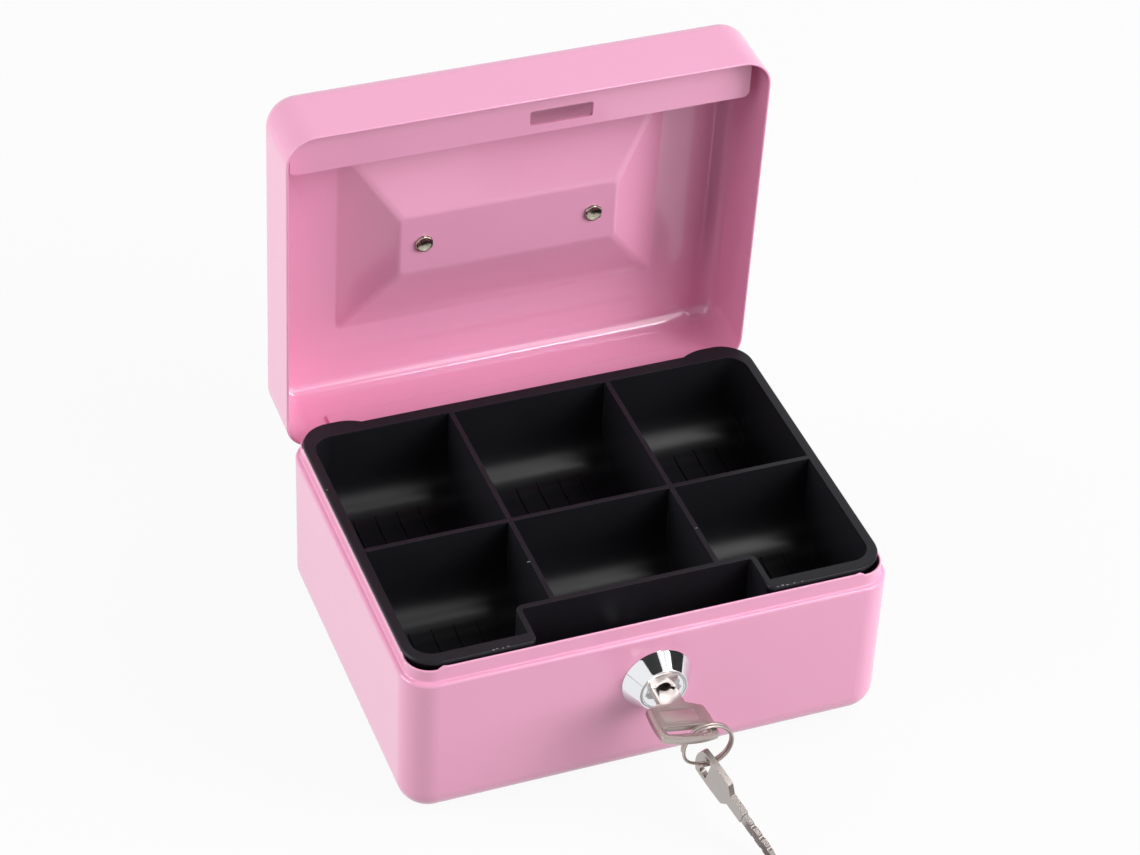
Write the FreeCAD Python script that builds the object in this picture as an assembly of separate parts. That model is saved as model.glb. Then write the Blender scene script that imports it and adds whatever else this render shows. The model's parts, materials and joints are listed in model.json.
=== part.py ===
import FreeCAD, Part
import math
import os
from FreeCAD import Vector

# Steel cash box with a coin tray, a cam lock and two keys. All sizes are in millimetres.
# The origin is the middle of the underside and +Z is up. The lock is at the front, towards -Y,
# and the hinge is at the back, towards +Y. The lid is modelled closed and then swung open.

# Box
BOX_WIDTH = 152.0
BOX_DEPTH = 118.0
SHEET = 0.8
CORNER_RADIUS = 9.5
BOTTOM_RADIUS = 8.5
SHOULDER_TOP = 52.0
SHOULDER_RADIUS = 1.5
NECK_TOP = 57.0
NECK_INSET = 1.6
NECK_CORNER_DROP = 0.8

# Lid
LID_RIM = 52.3
LID_TOP = 78.5
LID_EDGE_RADIUS = 6.5
LID_OPEN_ANGLE = 87.5
DISH_MOUTH = (104.6, 70.7)
DISH_FLOOR = (70.2, 21.3)
DISH_DEPTH = 9.4
DISH_CORNER = 1.5

# Hinge
HINGE_Y = 57.0
HINGE_Z = 49.4
HINGE_LENGTH = 120.0
KNUCKLES = 7
KNUCKLE_GAP = 0.3
KNUCKLE_RADIUS = 1.5
KNUCKLE_RELIEF = 1.9
PIN_RADIUS = 0.75
PIN_PLAY = 0.05
LEAF_Y = 57.4
BASE_LEAF_BOTTOM = 38.0
LID_LEAF_TOP = 63.3
HINGE_NOTCH_Y = 54.0
HINGE_NOTCH_Z = 48.15
HINGE_NOTCH_PLAY = 0.5

# Striker plate inside the lid's front wall
PLATE_BOTTOM = 58.8
PLATE_SHEET = 1.0
PLATE_LEFT = -73.0
PLATE_RIGHT = 72.2
PLATE_BACK = -41.7
PLATE_CORNER = 7.0
PLATE_BACK_CORNER = 2.0
PLATE_LEG_TOP = 66.8
PLATE_LEG_WIDTH = 128.0
SLOT_LEFT = 1.2
SLOT_RIGHT = 21.2
SLOT_FRONT = -49.9
SLOT_BACK = -44.7
SLOT_CORNER = 0.8

# Carry handle
RIVET_X = 27.6
RIVET_RADIUS = 1.5
RIVET_HEAD_RADIUS = 2.6
RIVET_HEAD = 0.9
CRIMP_PETALS = 6
CRIMP_PETAL_RADIUS = 0.75
BRACKET_SHEET = 1.0
BRACKET_WIDTH = 9.0
BRACKET_DEPTH = 7.0
BRACKET_EAR_RADIUS = 3.0
PIVOT_HEIGHT = 4.4
HANDLE_WIRE_RADIUS = 1.8
HANDLE_PLAY = 0.05
HANDLE_LEG_X = 37.5
HANDLE_END_X = 21.5
HANDLE_REACH = 23.0
HANDLE_BEND = 4.5
HANDLE_REST_ANGLE = 6.8

# Coin tray
TRAY_TOP = 58.2
TRAY_RIM = 1.2
TRAY_HALF_WIDTH = 74.2
TRAY_FRONT = -56.3
TRAY_BACK = 55.0
TRAY_EAR_BACK = 57.1
TRAY_EAR_START = 53.5
TRAY_EAR_FULL = 60.0
TRAY_EAR_SWELL = 0.7
TRAY_RIM_CORNER = 10.0
TRAY_WALL = 1.6
TRAY_BOTTOM = 27.4
TRAY_CORNER = 8.0
CUP_HALF_WIDTH = 71.2
CUP_FRONT = -52.3
CUP_BACK = 50.4
COLUMN_DIVIDER = 25.8
ROW_DIVIDER = -3.6
SCOOP_RADIUS = 14.0
NOTCH_HALF_WIDTH = 36.0
NOTCH_BACK = -42.0
NOTCH_WALL = 1.7
NOTCH_CORNER = 0.8
NOTCH_MOUTH_ROUNDING = 2.2
GROOVES = 5
GROOVE_PITCH = 7.05
GROOVE_WIDTH = 0.5
GROOVE_DEPTH = 0.4
GROOVE_START = 1.5
GROOVE_END = 8.6
GROOVE_SHIFT = 4.6

# Cam lock
LOCK_X = 0.8
LOCK_Z = 35.0
BEZEL_RADIUS = 11.0
BEZEL_RIM_RADIUS = 7.65
BEZEL_HEIGHT = 5.2
HOUSING_RADIUS = 8.0
HOUSING_FLAT = 6.7
HOUSING_BACK = -47.6
HOLE_PLAY = 0.1
PLUG_HEAD_RADIUS = 6.4
PLUG_HEAD_LENGTH = 2.0
PLUG_RADIUS = 5.2
PLUG_PLAY = 0.06
PLUG_RECESS = 0.2
PLUG_BACK = -47.2
PLUG_TAIL = 6.0
NUT_ACROSS = 21.0
NUT_HEIGHT = 4.0
WASHER_RADIUS = 10.5
WASHER_HEIGHT = 0.8
KEYWAY_WIDTH = 7.6
KEYWAY_HEIGHT = 2.0
KEYWAY_ARCH = 1.5
KEYWAY_END = -49.0
WAFERS = 5
WAFER_FIRST = -60.4
WAFER_PITCH = 2.0
WAFER_SHEET = 1.0
WAFER_HEIGHT = 5.0
WAFER_PLAY = 0.05
WAFER_WINDOW = (8.0, 2.6)
WAFER_GAP = 0.2
WAFER_GROOVE = 0.8
SPRING_RADIUS = 0.4
SPRING_LENGTH = 1.4
CAM_FRONT = -47.0
CAM_SHEET = 1.6
CAM_HUB = 6.5
CAM_REACH = 29.2
CAM_HALF_WIDTH = 3.2
CAM_NOSE = 7.5
CAM_NOSE_START = 26.2
CAM_SCREW_RADIUS = 1.5
CAM_SCREW_LENGTH = 3.2
CAM_SCREW_HEAD = (3.4, 1.0)
CAM_WASHER = (3.8, 0.5)

# Keys and ring
KEY_TILT = -11.0
LOCK_TURN = 90.0
KEY_SHEET = 1.8
KEY_NECK_HALF = 4.0
KEY_NECK_LENGTH = 6.6
KEY_SHOULDER = 2.0
BOW_HALF_WIDTH = 9.0
BOW_LENGTH = 12.6
BOW_SIDE_BULGE = 0.5
BOW_END_BULGE = 1.5
BOW_SLOT_LENGTH = 13.6
BOW_SLOT_WIDTH = 3.0
BOW_SLOT_MIDDLE = 18.3
BLADE_HALF_WIDTH = 3.0
BLADE_LENGTH = 14.4
BLADE_TIP = 2.2
BLADE_SHEET = 1.5
CUT_RADIUS = 0.7
RING_RADIUS = 7.6
RING_WIRE = 0.42
RING_PITCH = 1.27
RING_STEP = 190.0
RING_CLIMB = 60.0
RING_ARCS = 6
RING_CENTRE = (7.7, 27.6)
SPARE_HEADING = 20.0
SPARE_DIP = 25.0
SPARE_LEAN = 106.0
SPARE_SLOT_SHIFT = 4.0
SPARE_ON_RING = 278.0

# Worked out from the sizes above
TINY = 1e-4
FRONT_WALL = -BOX_DEPTH / 2
FRONT_INSIDE = FRONT_WALL + SHEET
BEZEL_FRONT = FRONT_WALL - BEZEL_HEIGHT
PLUG_FACE = BEZEL_FRONT + PLUG_RECESS
DISH_FLOOR_Z = LID_TOP - DISH_DEPTH
PIVOT_Z = DISH_FLOOR_Z + PIVOT_HEIGHT
TRAY_FLOOR = TRAY_BOTTOM + TRAY_WALL
CAM_BACK = CAM_FRONT + CAM_SHEET
RING_Y = PLUG_FACE - BOW_SLOT_MIDDLE


def box_between(low, high):
    """Box between two opposite corners."""
    size = Vector(*high) - Vector(*low)
    return Part.makeBox(size.x, size.y, size.z, Vector(*low))


def upright_edges(shape):
    """Straight edges that run along Z."""
    return [edge for edge in shape.Edges
            if edge.BoundBox.XLength < TINY and edge.BoundBox.YLength < TINY]


def edges_at_height(shape, height):
    """Edges that lie level at one height."""
    return [edge for edge in shape.Edges
            if abs(edge.BoundBox.ZMin - height) < TINY and abs(edge.BoundBox.ZMax - height) < TINY]


def rounded_block(inset, bottom, top):
    """Upright block of the box's outline, moved inwards by inset."""
    half_width = BOX_WIDTH / 2 - inset
    half_depth = BOX_DEPTH / 2 - inset
    block = box_between((-half_width, -half_depth, bottom), (half_width, half_depth, top))
    return block.makeFillet(CORNER_RADIUS - inset, upright_edges(block))


def round_level(shape, height, radius):
    """Rounds all edges that lie level at one height."""
    return shape.makeFillet(radius, edges_at_height(shape, height))


def lock_cylinder(radius, front, back):
    """Cylinder on the lock's axis, from the Y of its front face to that of its back face."""
    return Part.makeCylinder(radius, back - front, Vector(LOCK_X, front, LOCK_Z), Vector(0, 1, 0))


def lock_box(width, height, front, back):
    """Box centred on the lock's axis."""
    return box_between((LOCK_X - width / 2, front, LOCK_Z - height / 2),
                       (LOCK_X + width / 2, back, LOCK_Z + height / 2))


def opened(shape):
    """Swings a piece of the closed lid to where the open lid holds it."""
    shape = shape.copy()
    shape.rotate(Vector(0, HINGE_Y, HINGE_Z), Vector(-1, 0, 0), LID_OPEN_ANGLE)
    return shape


def turned(shape, further=0.0):
    """Turns a piece of the plug, or its key, to the angle at which the key was left, or further."""
    shape = shape.copy()
    shape.rotate(Vector(LOCK_X, 0, LOCK_Z), Vector(0, -1, 0), KEY_TILT + further)
    return shape


def housing_profile(play, front, back):
    """Lock body with its two flats, as solid or, with some play, as the hole for it."""
    body = lock_cylinder(HOUSING_RADIUS + play, front, back)
    return body.common(lock_box(4 * HOUSING_RADIUS, 2 * (HOUSING_FLAT + play), front, back))


def base_shell():
    """Drawn base: rounded bottom edge, rounded shoulder, inset neck and hinge notch."""
    outside = rounded_block(0, 0, SHOULDER_TOP)
    outside = round_level(outside, 0, BOTTOM_RADIUS)
    outside = round_level(outside, SHOULDER_TOP, SHOULDER_RADIUS)
    neck_bottom = SHOULDER_TOP - SHOULDER_RADIUS
    outside = outside.fuse(rounded_block(NECK_INSET, neck_bottom, NECK_TOP)).removeSplitter()
    inside = rounded_block(SHEET, SHEET, SHOULDER_TOP - SHEET)
    inside = round_level(inside, SHEET, BOTTOM_RADIUS - SHEET)
    mouth = rounded_block(NECK_INSET + SHEET, neck_bottom - SHEET, NECK_TOP + SHEET)
    shell = outside.cut(inside.fuse(mouth))

    corner_x = BOX_WIDTH / 2 - CORNER_RADIUS
    corner_y = BOX_DEPTH / 2 - CORNER_RADIUS
    drop = box_between((corner_x, corner_y, NECK_TOP - NECK_CORNER_DROP),
                       (BOX_WIDTH / 2, BOX_DEPTH / 2, NECK_TOP + SHEET))
    drops = [drop,
             drop.mirror(Vector(), Vector(1, 0, 0)),
             drop.mirror(Vector(), Vector(0, 1, 0)),
             drop.mirror(Vector(), Vector(1, 0, 0)).mirror(Vector(), Vector(0, 1, 0))]
    notch_half = HINGE_LENGTH / 2 + HINGE_NOTCH_PLAY
    notch = box_between((-notch_half, HINGE_NOTCH_Y, HINGE_NOTCH_Z),
                        (notch_half, BOX_DEPTH / 2 + SHEET, NECK_TOP + SHEET))
    lock_hole = housing_profile(HOLE_PLAY, FRONT_WALL - SHEET, FRONT_INSIDE + SHEET)
    return shell.cut(drops + [notch, lock_hole])


def dish_solid(grow):
    """Frustum of the pressed handle dish; grow moves its sides and floor out by the sheet."""
    floor_z = DISH_FLOOR_Z - grow
    top_z = LID_TOP + DISH_DEPTH / 4
    wires = []
    for z in (floor_z, top_z):
        half = []
        for mouth, floor in zip(DISH_MOUTH, DISH_FLOOR):
            slope = (mouth - floor) / 2 / DISH_DEPTH
            half.append(floor / 2 + slope * (z - DISH_FLOOR_Z) + grow * math.hypot(1, slope))
        corners = [Vector(-half[0], -half[1], z), Vector(half[0], -half[1], z),
                   Vector(half[0], half[1], z), Vector(-half[0], half[1], z)]
        wires.append(Part.makePolygon(corners + corners[:1]))
    frustum = Part.makeLoft(wires, True, True)
    slanted = [edge for edge in frustum.Edges if edge.BoundBox.ZLength > TINY]
    frustum = frustum.makeFillet(DISH_CORNER + grow, slanted)
    return round_level(frustum, floor_z, DISH_CORNER + grow)


def lid_shell():
    """Pressed lid, modelled closed: rounded top edge, straight walls and the handle dish."""
    outside = round_level(rounded_block(0, LID_RIM, LID_TOP), LID_TOP, LID_EDGE_RADIUS)
    inside = rounded_block(SHEET, LID_RIM - SHEET, LID_TOP - SHEET)
    inside = round_level(inside, LID_TOP - SHEET, LID_EDGE_RADIUS - SHEET)
    shell = outside.cut(dish_solid(0)).cut(inside.cut(dish_solid(SHEET)))
    holes = [Part.makeCylinder(RIVET_RADIUS, 2 * DISH_DEPTH, Vector(x, 0, LID_RIM + DISH_DEPTH))
             for x in (-RIVET_X, RIVET_X)]
    return opened(shell.cut(holes))


def knuckle_spans(first):
    """Start and end X of every second knuckle, from the first or the second one on."""
    length = HINGE_LENGTH / KNUCKLES
    starts = [-HINGE_LENGTH / 2 + length * index for index in range(first, KNUCKLES, 2)]
    return [(start + KNUCKLE_GAP / 2, start + length - KNUCKLE_GAP / 2) for start in starts]


def hinge_leaf(bottom, top, own_first):
    """Leaf with its rolled knuckles, cut away round the other leaf's knuckles."""
    leaf = box_between((-HINGE_LENGTH / 2, LEAF_Y, bottom), (HINGE_LENGTH / 2, LEAF_Y + SHEET, top))
    for start, end in knuckle_spans(1 - own_first):
        room = box_between((start - KNUCKLE_GAP, LEAF_Y - SHEET, HINGE_Z - KNUCKLE_RELIEF),
                           (end + KNUCKLE_GAP, LEAF_Y + 2 * SHEET, HINGE_Z + KNUCKLE_RELIEF))
        leaf = leaf.cut(room)
    for start, end in knuckle_spans(own_first):
        knuckle = Part.makeCylinder(KNUCKLE_RADIUS, end - start, Vector(start, HINGE_Y, HINGE_Z),
                                    Vector(1, 0, 0))
        leaf = leaf.fuse(knuckle)
    bore = Part.makeCylinder(PIN_RADIUS + PIN_PLAY, HINGE_LENGTH, Vector(-HINGE_LENGTH / 2, HINGE_Y, HINGE_Z),
                             Vector(1, 0, 0))
    return leaf.cut(bore).removeSplitter()


def hinge_pin():
    """Pin through all knuckles."""
    return Part.makeCylinder(PIN_RADIUS, HINGE_LENGTH, Vector(-HINGE_LENGTH / 2, HINGE_Y, HINGE_Z),
                             Vector(1, 0, 0))


def lid_striker_plate():
    """Angle strip welded to the lid's front wall, with the slot for the lock's hook."""
    plate = box_between((PLATE_LEFT, FRONT_INSIDE, PLATE_BOTTOM),
                        (PLATE_RIGHT, PLATE_BACK, PLATE_BOTTOM + PLATE_SHEET))
    for radius, y in ((PLATE_CORNER, FRONT_INSIDE), (PLATE_BACK_CORNER, PLATE_BACK)):
        corners = [edge for edge in upright_edges(plate) if abs(edge.BoundBox.YMin - y) < TINY]
        plate = plate.makeFillet(radius, corners)
    leg = box_between((-PLATE_LEG_WIDTH / 2, FRONT_INSIDE, PLATE_BOTTOM),
                      (PLATE_LEG_WIDTH / 2, FRONT_INSIDE + PLATE_SHEET, PLATE_LEG_TOP))
    slot = box_between((SLOT_LEFT, SLOT_FRONT, PLATE_BOTTOM - PLATE_SHEET),
                       (SLOT_RIGHT, SLOT_BACK, PLATE_BOTTOM + 2 * PLATE_SHEET))
    slot = slot.makeFillet(SLOT_CORNER, upright_edges(slot))
    return opened(plate.fuse(leg).cut(slot).removeSplitter())


def handle_bracket(side):
    """Bent bracket on the dish floor: a foot and two ears with the handle's bearing holes."""
    middle = side * RIVET_X
    foot_top = DISH_FLOOR_Z + BRACKET_SHEET
    bracket = box_between((middle - BRACKET_WIDTH / 2, -BRACKET_DEPTH / 2, DISH_FLOOR_Z),
                          (middle + BRACKET_WIDTH / 2, BRACKET_DEPTH / 2, foot_top))
    for start in (middle - BRACKET_WIDTH / 2, middle + BRACKET_WIDTH / 2 - BRACKET_SHEET):
        ear = box_between((start, -BRACKET_EAR_RADIUS, DISH_FLOOR_Z),
                          (start + BRACKET_SHEET, BRACKET_EAR_RADIUS, PIVOT_Z))
        crown = Part.makeCylinder(BRACKET_EAR_RADIUS, BRACKET_SHEET, Vector(start, 0, PIVOT_Z),
                                  Vector(1, 0, 0))
        bracket = bracket.fuse([ear, crown])
    bearing = Part.makeCylinder(HANDLE_WIRE_RADIUS + HANDLE_PLAY, 2 * BRACKET_WIDTH,
                                Vector(middle - BRACKET_WIDTH, 0, PIVOT_Z), Vector(1, 0, 0))
    rivet_hole = Part.makeCylinder(RIVET_RADIUS, BRACKET_DEPTH,
                                   Vector(middle, 0, DISH_FLOOR_Z - BRACKET_SHEET))
    return opened(bracket.cut([bearing, rivet_hole]).removeSplitter())


def handle_rivet(x):
    """Rivet with a flat head on the bracket and a crimped flower on the inside of the lid."""
    inside_z = DISH_FLOOR_Z - SHEET
    outside_z = DISH_FLOOR_Z + BRACKET_SHEET
    shank = Part.makeCylinder(RIVET_RADIUS, outside_z - inside_z, Vector(x, 0, inside_z))
    head = Part.makeCylinder(RIVET_HEAD_RADIUS, RIVET_HEAD / 2, Vector(x, 0, outside_z))
    flower = Part.makeCylinder(RIVET_HEAD_RADIUS - CRIMP_PETAL_RADIUS, RIVET_HEAD,
                               Vector(x, 0, inside_z - RIVET_HEAD))
    for petal in range(CRIMP_PETALS):
        angle = 2 * math.pi * petal / CRIMP_PETALS
        reach = RIVET_HEAD_RADIUS - CRIMP_PETAL_RADIUS
        at = Vector(x + reach * math.cos(angle), reach * math.sin(angle), inside_z - RIVET_HEAD)
        flower = flower.fuse(Part.makeCylinder(CRIMP_PETAL_RADIUS, RIVET_HEAD, at))
    dimple = Part.makeSphere(RIVET_RADIUS, Vector(x, 0, inside_z - RIVET_HEAD - RIVET_RADIUS / 2))
    return flower.cut(dimple).fuse([shank, head]).removeSplitter()


def handle_rivets():
    """Both rivets, as separate solids."""
    return opened(Part.makeCompound([handle_rivet(-RIVET_X), handle_rivet(RIVET_X)]))


def carry_handle():
    """Wire bail that folds into the dish: one bent wire whose ends turn in the brackets."""
    bend = HANDLE_BEND
    diagonal = bend * (1 - math.sqrt(0.5))
    side = []
    for sign in (1, -1):
        leg_x = sign * HANDLE_LEG_X
        inner_x = sign * (HANDLE_LEG_X - bend)
        corner_x = sign * (HANDLE_LEG_X - diagonal)
        end = Part.LineSegment(Vector(sign * HANDLE_END_X, 0, 0), Vector(inner_x, 0, 0))
        foot = Part.Arc(Vector(inner_x, 0, 0), Vector(corner_x, diagonal, 0), Vector(leg_x, bend, 0))
        leg = Part.LineSegment(Vector(leg_x, bend, 0), Vector(leg_x, HANDLE_REACH - bend, 0))
        crown = Part.Arc(Vector(leg_x, HANDLE_REACH - bend, 0),
                         Vector(corner_x, HANDLE_REACH - diagonal, 0), Vector(inner_x, HANDLE_REACH, 0))
        side.append([end, foot, leg, crown])
    grip = Part.LineSegment(Vector(HANDLE_LEG_X - bend, HANDLE_REACH, 0),
                            Vector(bend - HANDLE_LEG_X, HANDLE_REACH, 0))
    path = Part.Wire(Part.__sortEdges__([piece.toShape() for piece in side[0] + [grip] + side[1]]))
    section = Part.Wire(Part.makeCircle(HANDLE_WIRE_RADIUS, Vector(HANDLE_END_X, 0, 0), Vector(1, 0, 0)))
    handle = path.makePipeShell([section], True, False)
    handle.rotate(Vector(), Vector(1, 0, 0), HANDLE_REST_ANGLE)
    handle.translate(Vector(0, 0, PIVOT_Z))
    return opened(handle)


def tray_rim():
    """Flat rim of the tray, with an ear at each rear corner."""
    half = TRAY_HALF_WIDTH
    radius = TRAY_RIM_CORNER
    diagonal = radius * (1 - math.sqrt(0.5))
    ear_mid = ((TRAY_EAR_START + TRAY_EAR_FULL) / 2,
               TRAY_BACK + TRAY_EAR_SWELL * (TRAY_EAR_BACK - TRAY_BACK))
    right = [Part.LineSegment(Vector(0, TRAY_FRONT, 0), Vector(half - radius, TRAY_FRONT, 0)),
             Part.Arc(Vector(half - radius, TRAY_FRONT, 0),
                      Vector(half - diagonal, TRAY_FRONT + diagonal, 0),
                      Vector(half, TRAY_FRONT + radius, 0)),
             Part.LineSegment(Vector(half, TRAY_FRONT + radius, 0), Vector(half, TRAY_EAR_BACK - radius, 0)),
             Part.Arc(Vector(half, TRAY_EAR_BACK - radius, 0),
                      Vector(half - diagonal, TRAY_EAR_BACK - diagonal, 0),
                      Vector(half - radius, TRAY_EAR_BACK, 0)),
             Part.LineSegment(Vector(half - radius, TRAY_EAR_BACK, 0),
                              Vector(TRAY_EAR_FULL, TRAY_EAR_BACK, 0)),
             Part.Arc(Vector(TRAY_EAR_FULL, TRAY_EAR_BACK, 0), Vector(*ear_mid, 0),
                      Vector(TRAY_EAR_START, TRAY_BACK, 0)),
             Part.LineSegment(Vector(TRAY_EAR_START, TRAY_BACK, 0), Vector(0, TRAY_BACK, 0))]
    edges = [piece.toShape() for piece in right]
    edges += [edge.mirror(Vector(), Vector(1, 0, 0)) for edge in edges]
    rim = Part.Face(Part.Wire(Part.__sortEdges__(edges))).extrude(Vector(0, 0, TRAY_RIM))
    rim.translate(Vector(0, 0, TRAY_TOP - TRAY_RIM))
    return rim


def cup_corner(edge):
    """True for an upright edge of a cup at a corner of the whole tray."""
    middle = edge.BoundBox.Center
    at_side = abs(abs(middle.x) - CUP_HALF_WIDTH) < TINY
    at_end = min(abs(middle.y - CUP_FRONT), abs(middle.y - CUP_BACK)) < TINY
    return at_side and at_end


def heel_wedge(left, right, back, bottom, radius):
    """What a floor that curves up into its back wall leaves under the curve."""
    corner = box_between((left, back - radius, bottom), (right, back, bottom + radius))
    roller = Part.makeCylinder(radius, right - left, Vector(left, back - radius, bottom + radius),
                               Vector(1, 0, 0))
    return corner.cut(roller)


def tray_cup(left, right, front, back):
    """Room of one compartment: steep front, floor that curves up into its back wall."""
    cup = box_between((left, front, TRAY_FLOOR), (right, back, TRAY_TOP + TRAY_RIM))
    corners = [edge for edge in upright_edges(cup) if cup_corner(edge)]
    if corners:
        cup = cup.makeFillet(TRAY_CORNER - TRAY_WALL, corners)
    return cup.cut(heel_wedge(left, right, back, TRAY_FLOOR, SCOOP_RADIUS))


def cup_grooves(middle, front, back):
    """Shallow grooves along one floor that end where it curves up into the back wall."""
    bottom = TRAY_FLOOR - GROOVE_DEPTH
    grooves = []
    for index in range(GROOVES):
        left = middle + (index - (GROOVES - 1) / 2) * GROOVE_PITCH - GROOVE_WIDTH / 2
        right = left + GROOVE_WIDTH
        groove = box_between((left, front + GROOVE_START, bottom),
                             (right, back - GROOVE_END, bottom + SCOOP_RADIUS))
        grooves.append(groove.cut(heel_wedge(left, right, back, bottom, SCOOP_RADIUS)))
    return grooves


def notch_mouth(edge):
    """True for an upright edge of the rim at the open end of the notch."""
    middle = edge.BoundBox.Center
    return abs(abs(middle.x) - NOTCH_HALF_WIDTH) < TINY and abs(middle.y - TRAY_FRONT) < TINY


def cash_tray():
    """Lift-out tray: six scooped compartments, one rim, and a notch that clears the lock."""
    body = box_between((-CUP_HALF_WIDTH - TRAY_WALL, CUP_FRONT - TRAY_WALL, TRAY_BOTTOM),
                       (CUP_HALF_WIDTH + TRAY_WALL, CUP_BACK + TRAY_WALL, TRAY_TOP))
    body = body.makeFillet(TRAY_CORNER, upright_edges(body))
    tray = body.fuse(tray_rim()).removeSplitter()
    notch = box_between((-NOTCH_HALF_WIDTH, TRAY_FRONT - TRAY_WALL, TRAY_BOTTOM - TRAY_WALL),
                        (NOTCH_HALF_WIDTH, NOTCH_BACK, TRAY_TOP + TRAY_WALL))
    notch = notch.makeFillet(NOTCH_CORNER, upright_edges(notch))
    notch_wall = box_between((-NOTCH_HALF_WIDTH - NOTCH_WALL, TRAY_FRONT, TRAY_BOTTOM),
                             (NOTCH_HALF_WIDTH + NOTCH_WALL, NOTCH_BACK + NOTCH_WALL,
                              TRAY_TOP + 2 * TRAY_RIM))
    notch_wall = notch_wall.makeFillet(NOTCH_CORNER + NOTCH_WALL, upright_edges(notch_wall))
    half_divider = TRAY_WALL / 2
    columns = [(-CUP_HALF_WIDTH, -COLUMN_DIVIDER - half_divider, -GROOVE_SHIFT),
               (-COLUMN_DIVIDER + half_divider, COLUMN_DIVIDER - half_divider, 0),
               (COLUMN_DIVIDER + half_divider, CUP_HALF_WIDTH, GROOVE_SHIFT)]
    rows = [(CUP_FRONT, ROW_DIVIDER - half_divider), (ROW_DIVIDER + half_divider, CUP_BACK)]
    cups = []
    for left, right, shift in columns:
        for front, back in rows:
            cup = tray_cup(left, right, front, back).cut(notch_wall)
            cups += [cup] + cup_grooves((left + right) / 2 + shift, cup.BoundBox.YMin, back)
    half_width = CUP_HALF_WIDTH + TRAY_WALL
    row_wall = box_between((-half_width, ROW_DIVIDER - half_divider, TRAY_BOTTOM),
                           (half_width, ROW_DIVIDER + half_divider, TRAY_TOP))
    hollows = [heel_wedge(-half_width, half_width, back + TRAY_WALL, TRAY_BOTTOM,
                          SCOOP_RADIUS + TRAY_WALL).cut(row_wall) for _, back in rows]
    tray = tray.cut([notch] + cups + hollows)
    return tray.makeFillet(NOTCH_MOUTH_ROUNDING, [edge for edge in upright_edges(tray) if notch_mouth(edge)])


def lock_housing():
    """Lock body in one casting: conical head, body with flats, bore and grooves for the wafers."""
    cone = Part.makeCone(BEZEL_RADIUS, BEZEL_RIM_RADIUS, BEZEL_HEIGHT, Vector(LOCK_X, FRONT_WALL, LOCK_Z),
                         Vector(0, -1, 0))
    body = housing_profile(0, FRONT_WALL - SHEET, HOUSING_BACK)
    head_room = lock_cylinder(PLUG_HEAD_RADIUS + PLUG_PLAY, BEZEL_FRONT - SHEET,
                              PLUG_FACE + PLUG_HEAD_LENGTH + PLUG_PLAY)
    bore = lock_cylinder(PLUG_RADIUS + PLUG_PLAY, BEZEL_FRONT, HOUSING_BACK + SHEET)
    groove = lock_box(2 * (PLUG_RADIUS + WAFER_GROOVE), WAFER_HEIGHT + 2 * WAFER_GAP,
                      WAFER_FIRST - WAFER_GAP, WAFER_FIRST + WAFERS * WAFER_PITCH)
    grooves = [turned(groove), turned(groove, LOCK_TURN)]
    return cone.fuse(body).cut([head_room, bore] + grooves).removeSplitter()


def lock_washer():
    """Washer between the nut and the front wall."""
    ring = lock_cylinder(WASHER_RADIUS, FRONT_INSIDE, FRONT_INSIDE + WASHER_HEIGHT)
    hole = lock_cylinder(HOUSING_RADIUS + HOLE_PLAY, FRONT_INSIDE - SHEET, FRONT_INSIDE + NUT_HEIGHT)
    return ring.cut(hole)


def lock_nut():
    """Hexagon nut that clamps the lock."""
    front = FRONT_INSIDE + WASHER_HEIGHT
    radius = NUT_ACROSS / math.sqrt(3)
    corners = [Vector(LOCK_X + radius * math.cos(math.radians(60 * side)), front,
                      LOCK_Z + radius * math.sin(math.radians(60 * side))) for side in range(7)]
    nut = Part.Face(Part.makePolygon(corners)).extrude(Vector(0, NUT_HEIGHT, 0))
    return nut.cut(lock_cylinder(HOUSING_RADIUS + HOLE_PLAY, front - SHEET, front + NUT_HEIGHT + SHEET))


def wafer_places():
    """Y of the front face of every wafer."""
    return [WAFER_FIRST + WAFER_PITCH * index for index in range(WAFERS)]


def lock_plug():
    """Plug with its head, keyway, wafer slots and the square tail for the cam."""
    head = lock_cylinder(PLUG_HEAD_RADIUS, PLUG_FACE, PLUG_FACE + PLUG_HEAD_LENGTH)
    body = lock_cylinder(PLUG_RADIUS, PLUG_FACE, PLUG_BACK)
    tail = lock_box(PLUG_TAIL, PLUG_TAIL, PLUG_BACK - SHEET, CAM_BACK - PLUG_RECESS)
    keyway = lock_box(KEYWAY_WIDTH, KEYWAY_HEIGHT, PLUG_FACE - SHEET, KEYWAY_END)
    arch = lock_cylinder(KEYWAY_ARCH, PLUG_FACE - SHEET, KEYWAY_END)
    slots = [lock_box(4 * PLUG_RADIUS, WAFER_HEIGHT + 2 * WAFER_PLAY,
                      y - WAFER_PLAY, y + WAFER_SHEET + WAFER_PLAY) for y in wafer_places()]
    thread = lock_cylinder(CAM_SCREW_RADIUS, CAM_BACK - CAM_SCREW_LENGTH, CAM_BACK)
    return turned(head.fuse([body, tail]).cut([keyway, arch, thread] + slots).removeSplitter())


def wafer_side(index):
    """Side towards which a wafer springs out when the key is drawn: left and right in turn."""
    return 1 if index % 2 else -1


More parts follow.
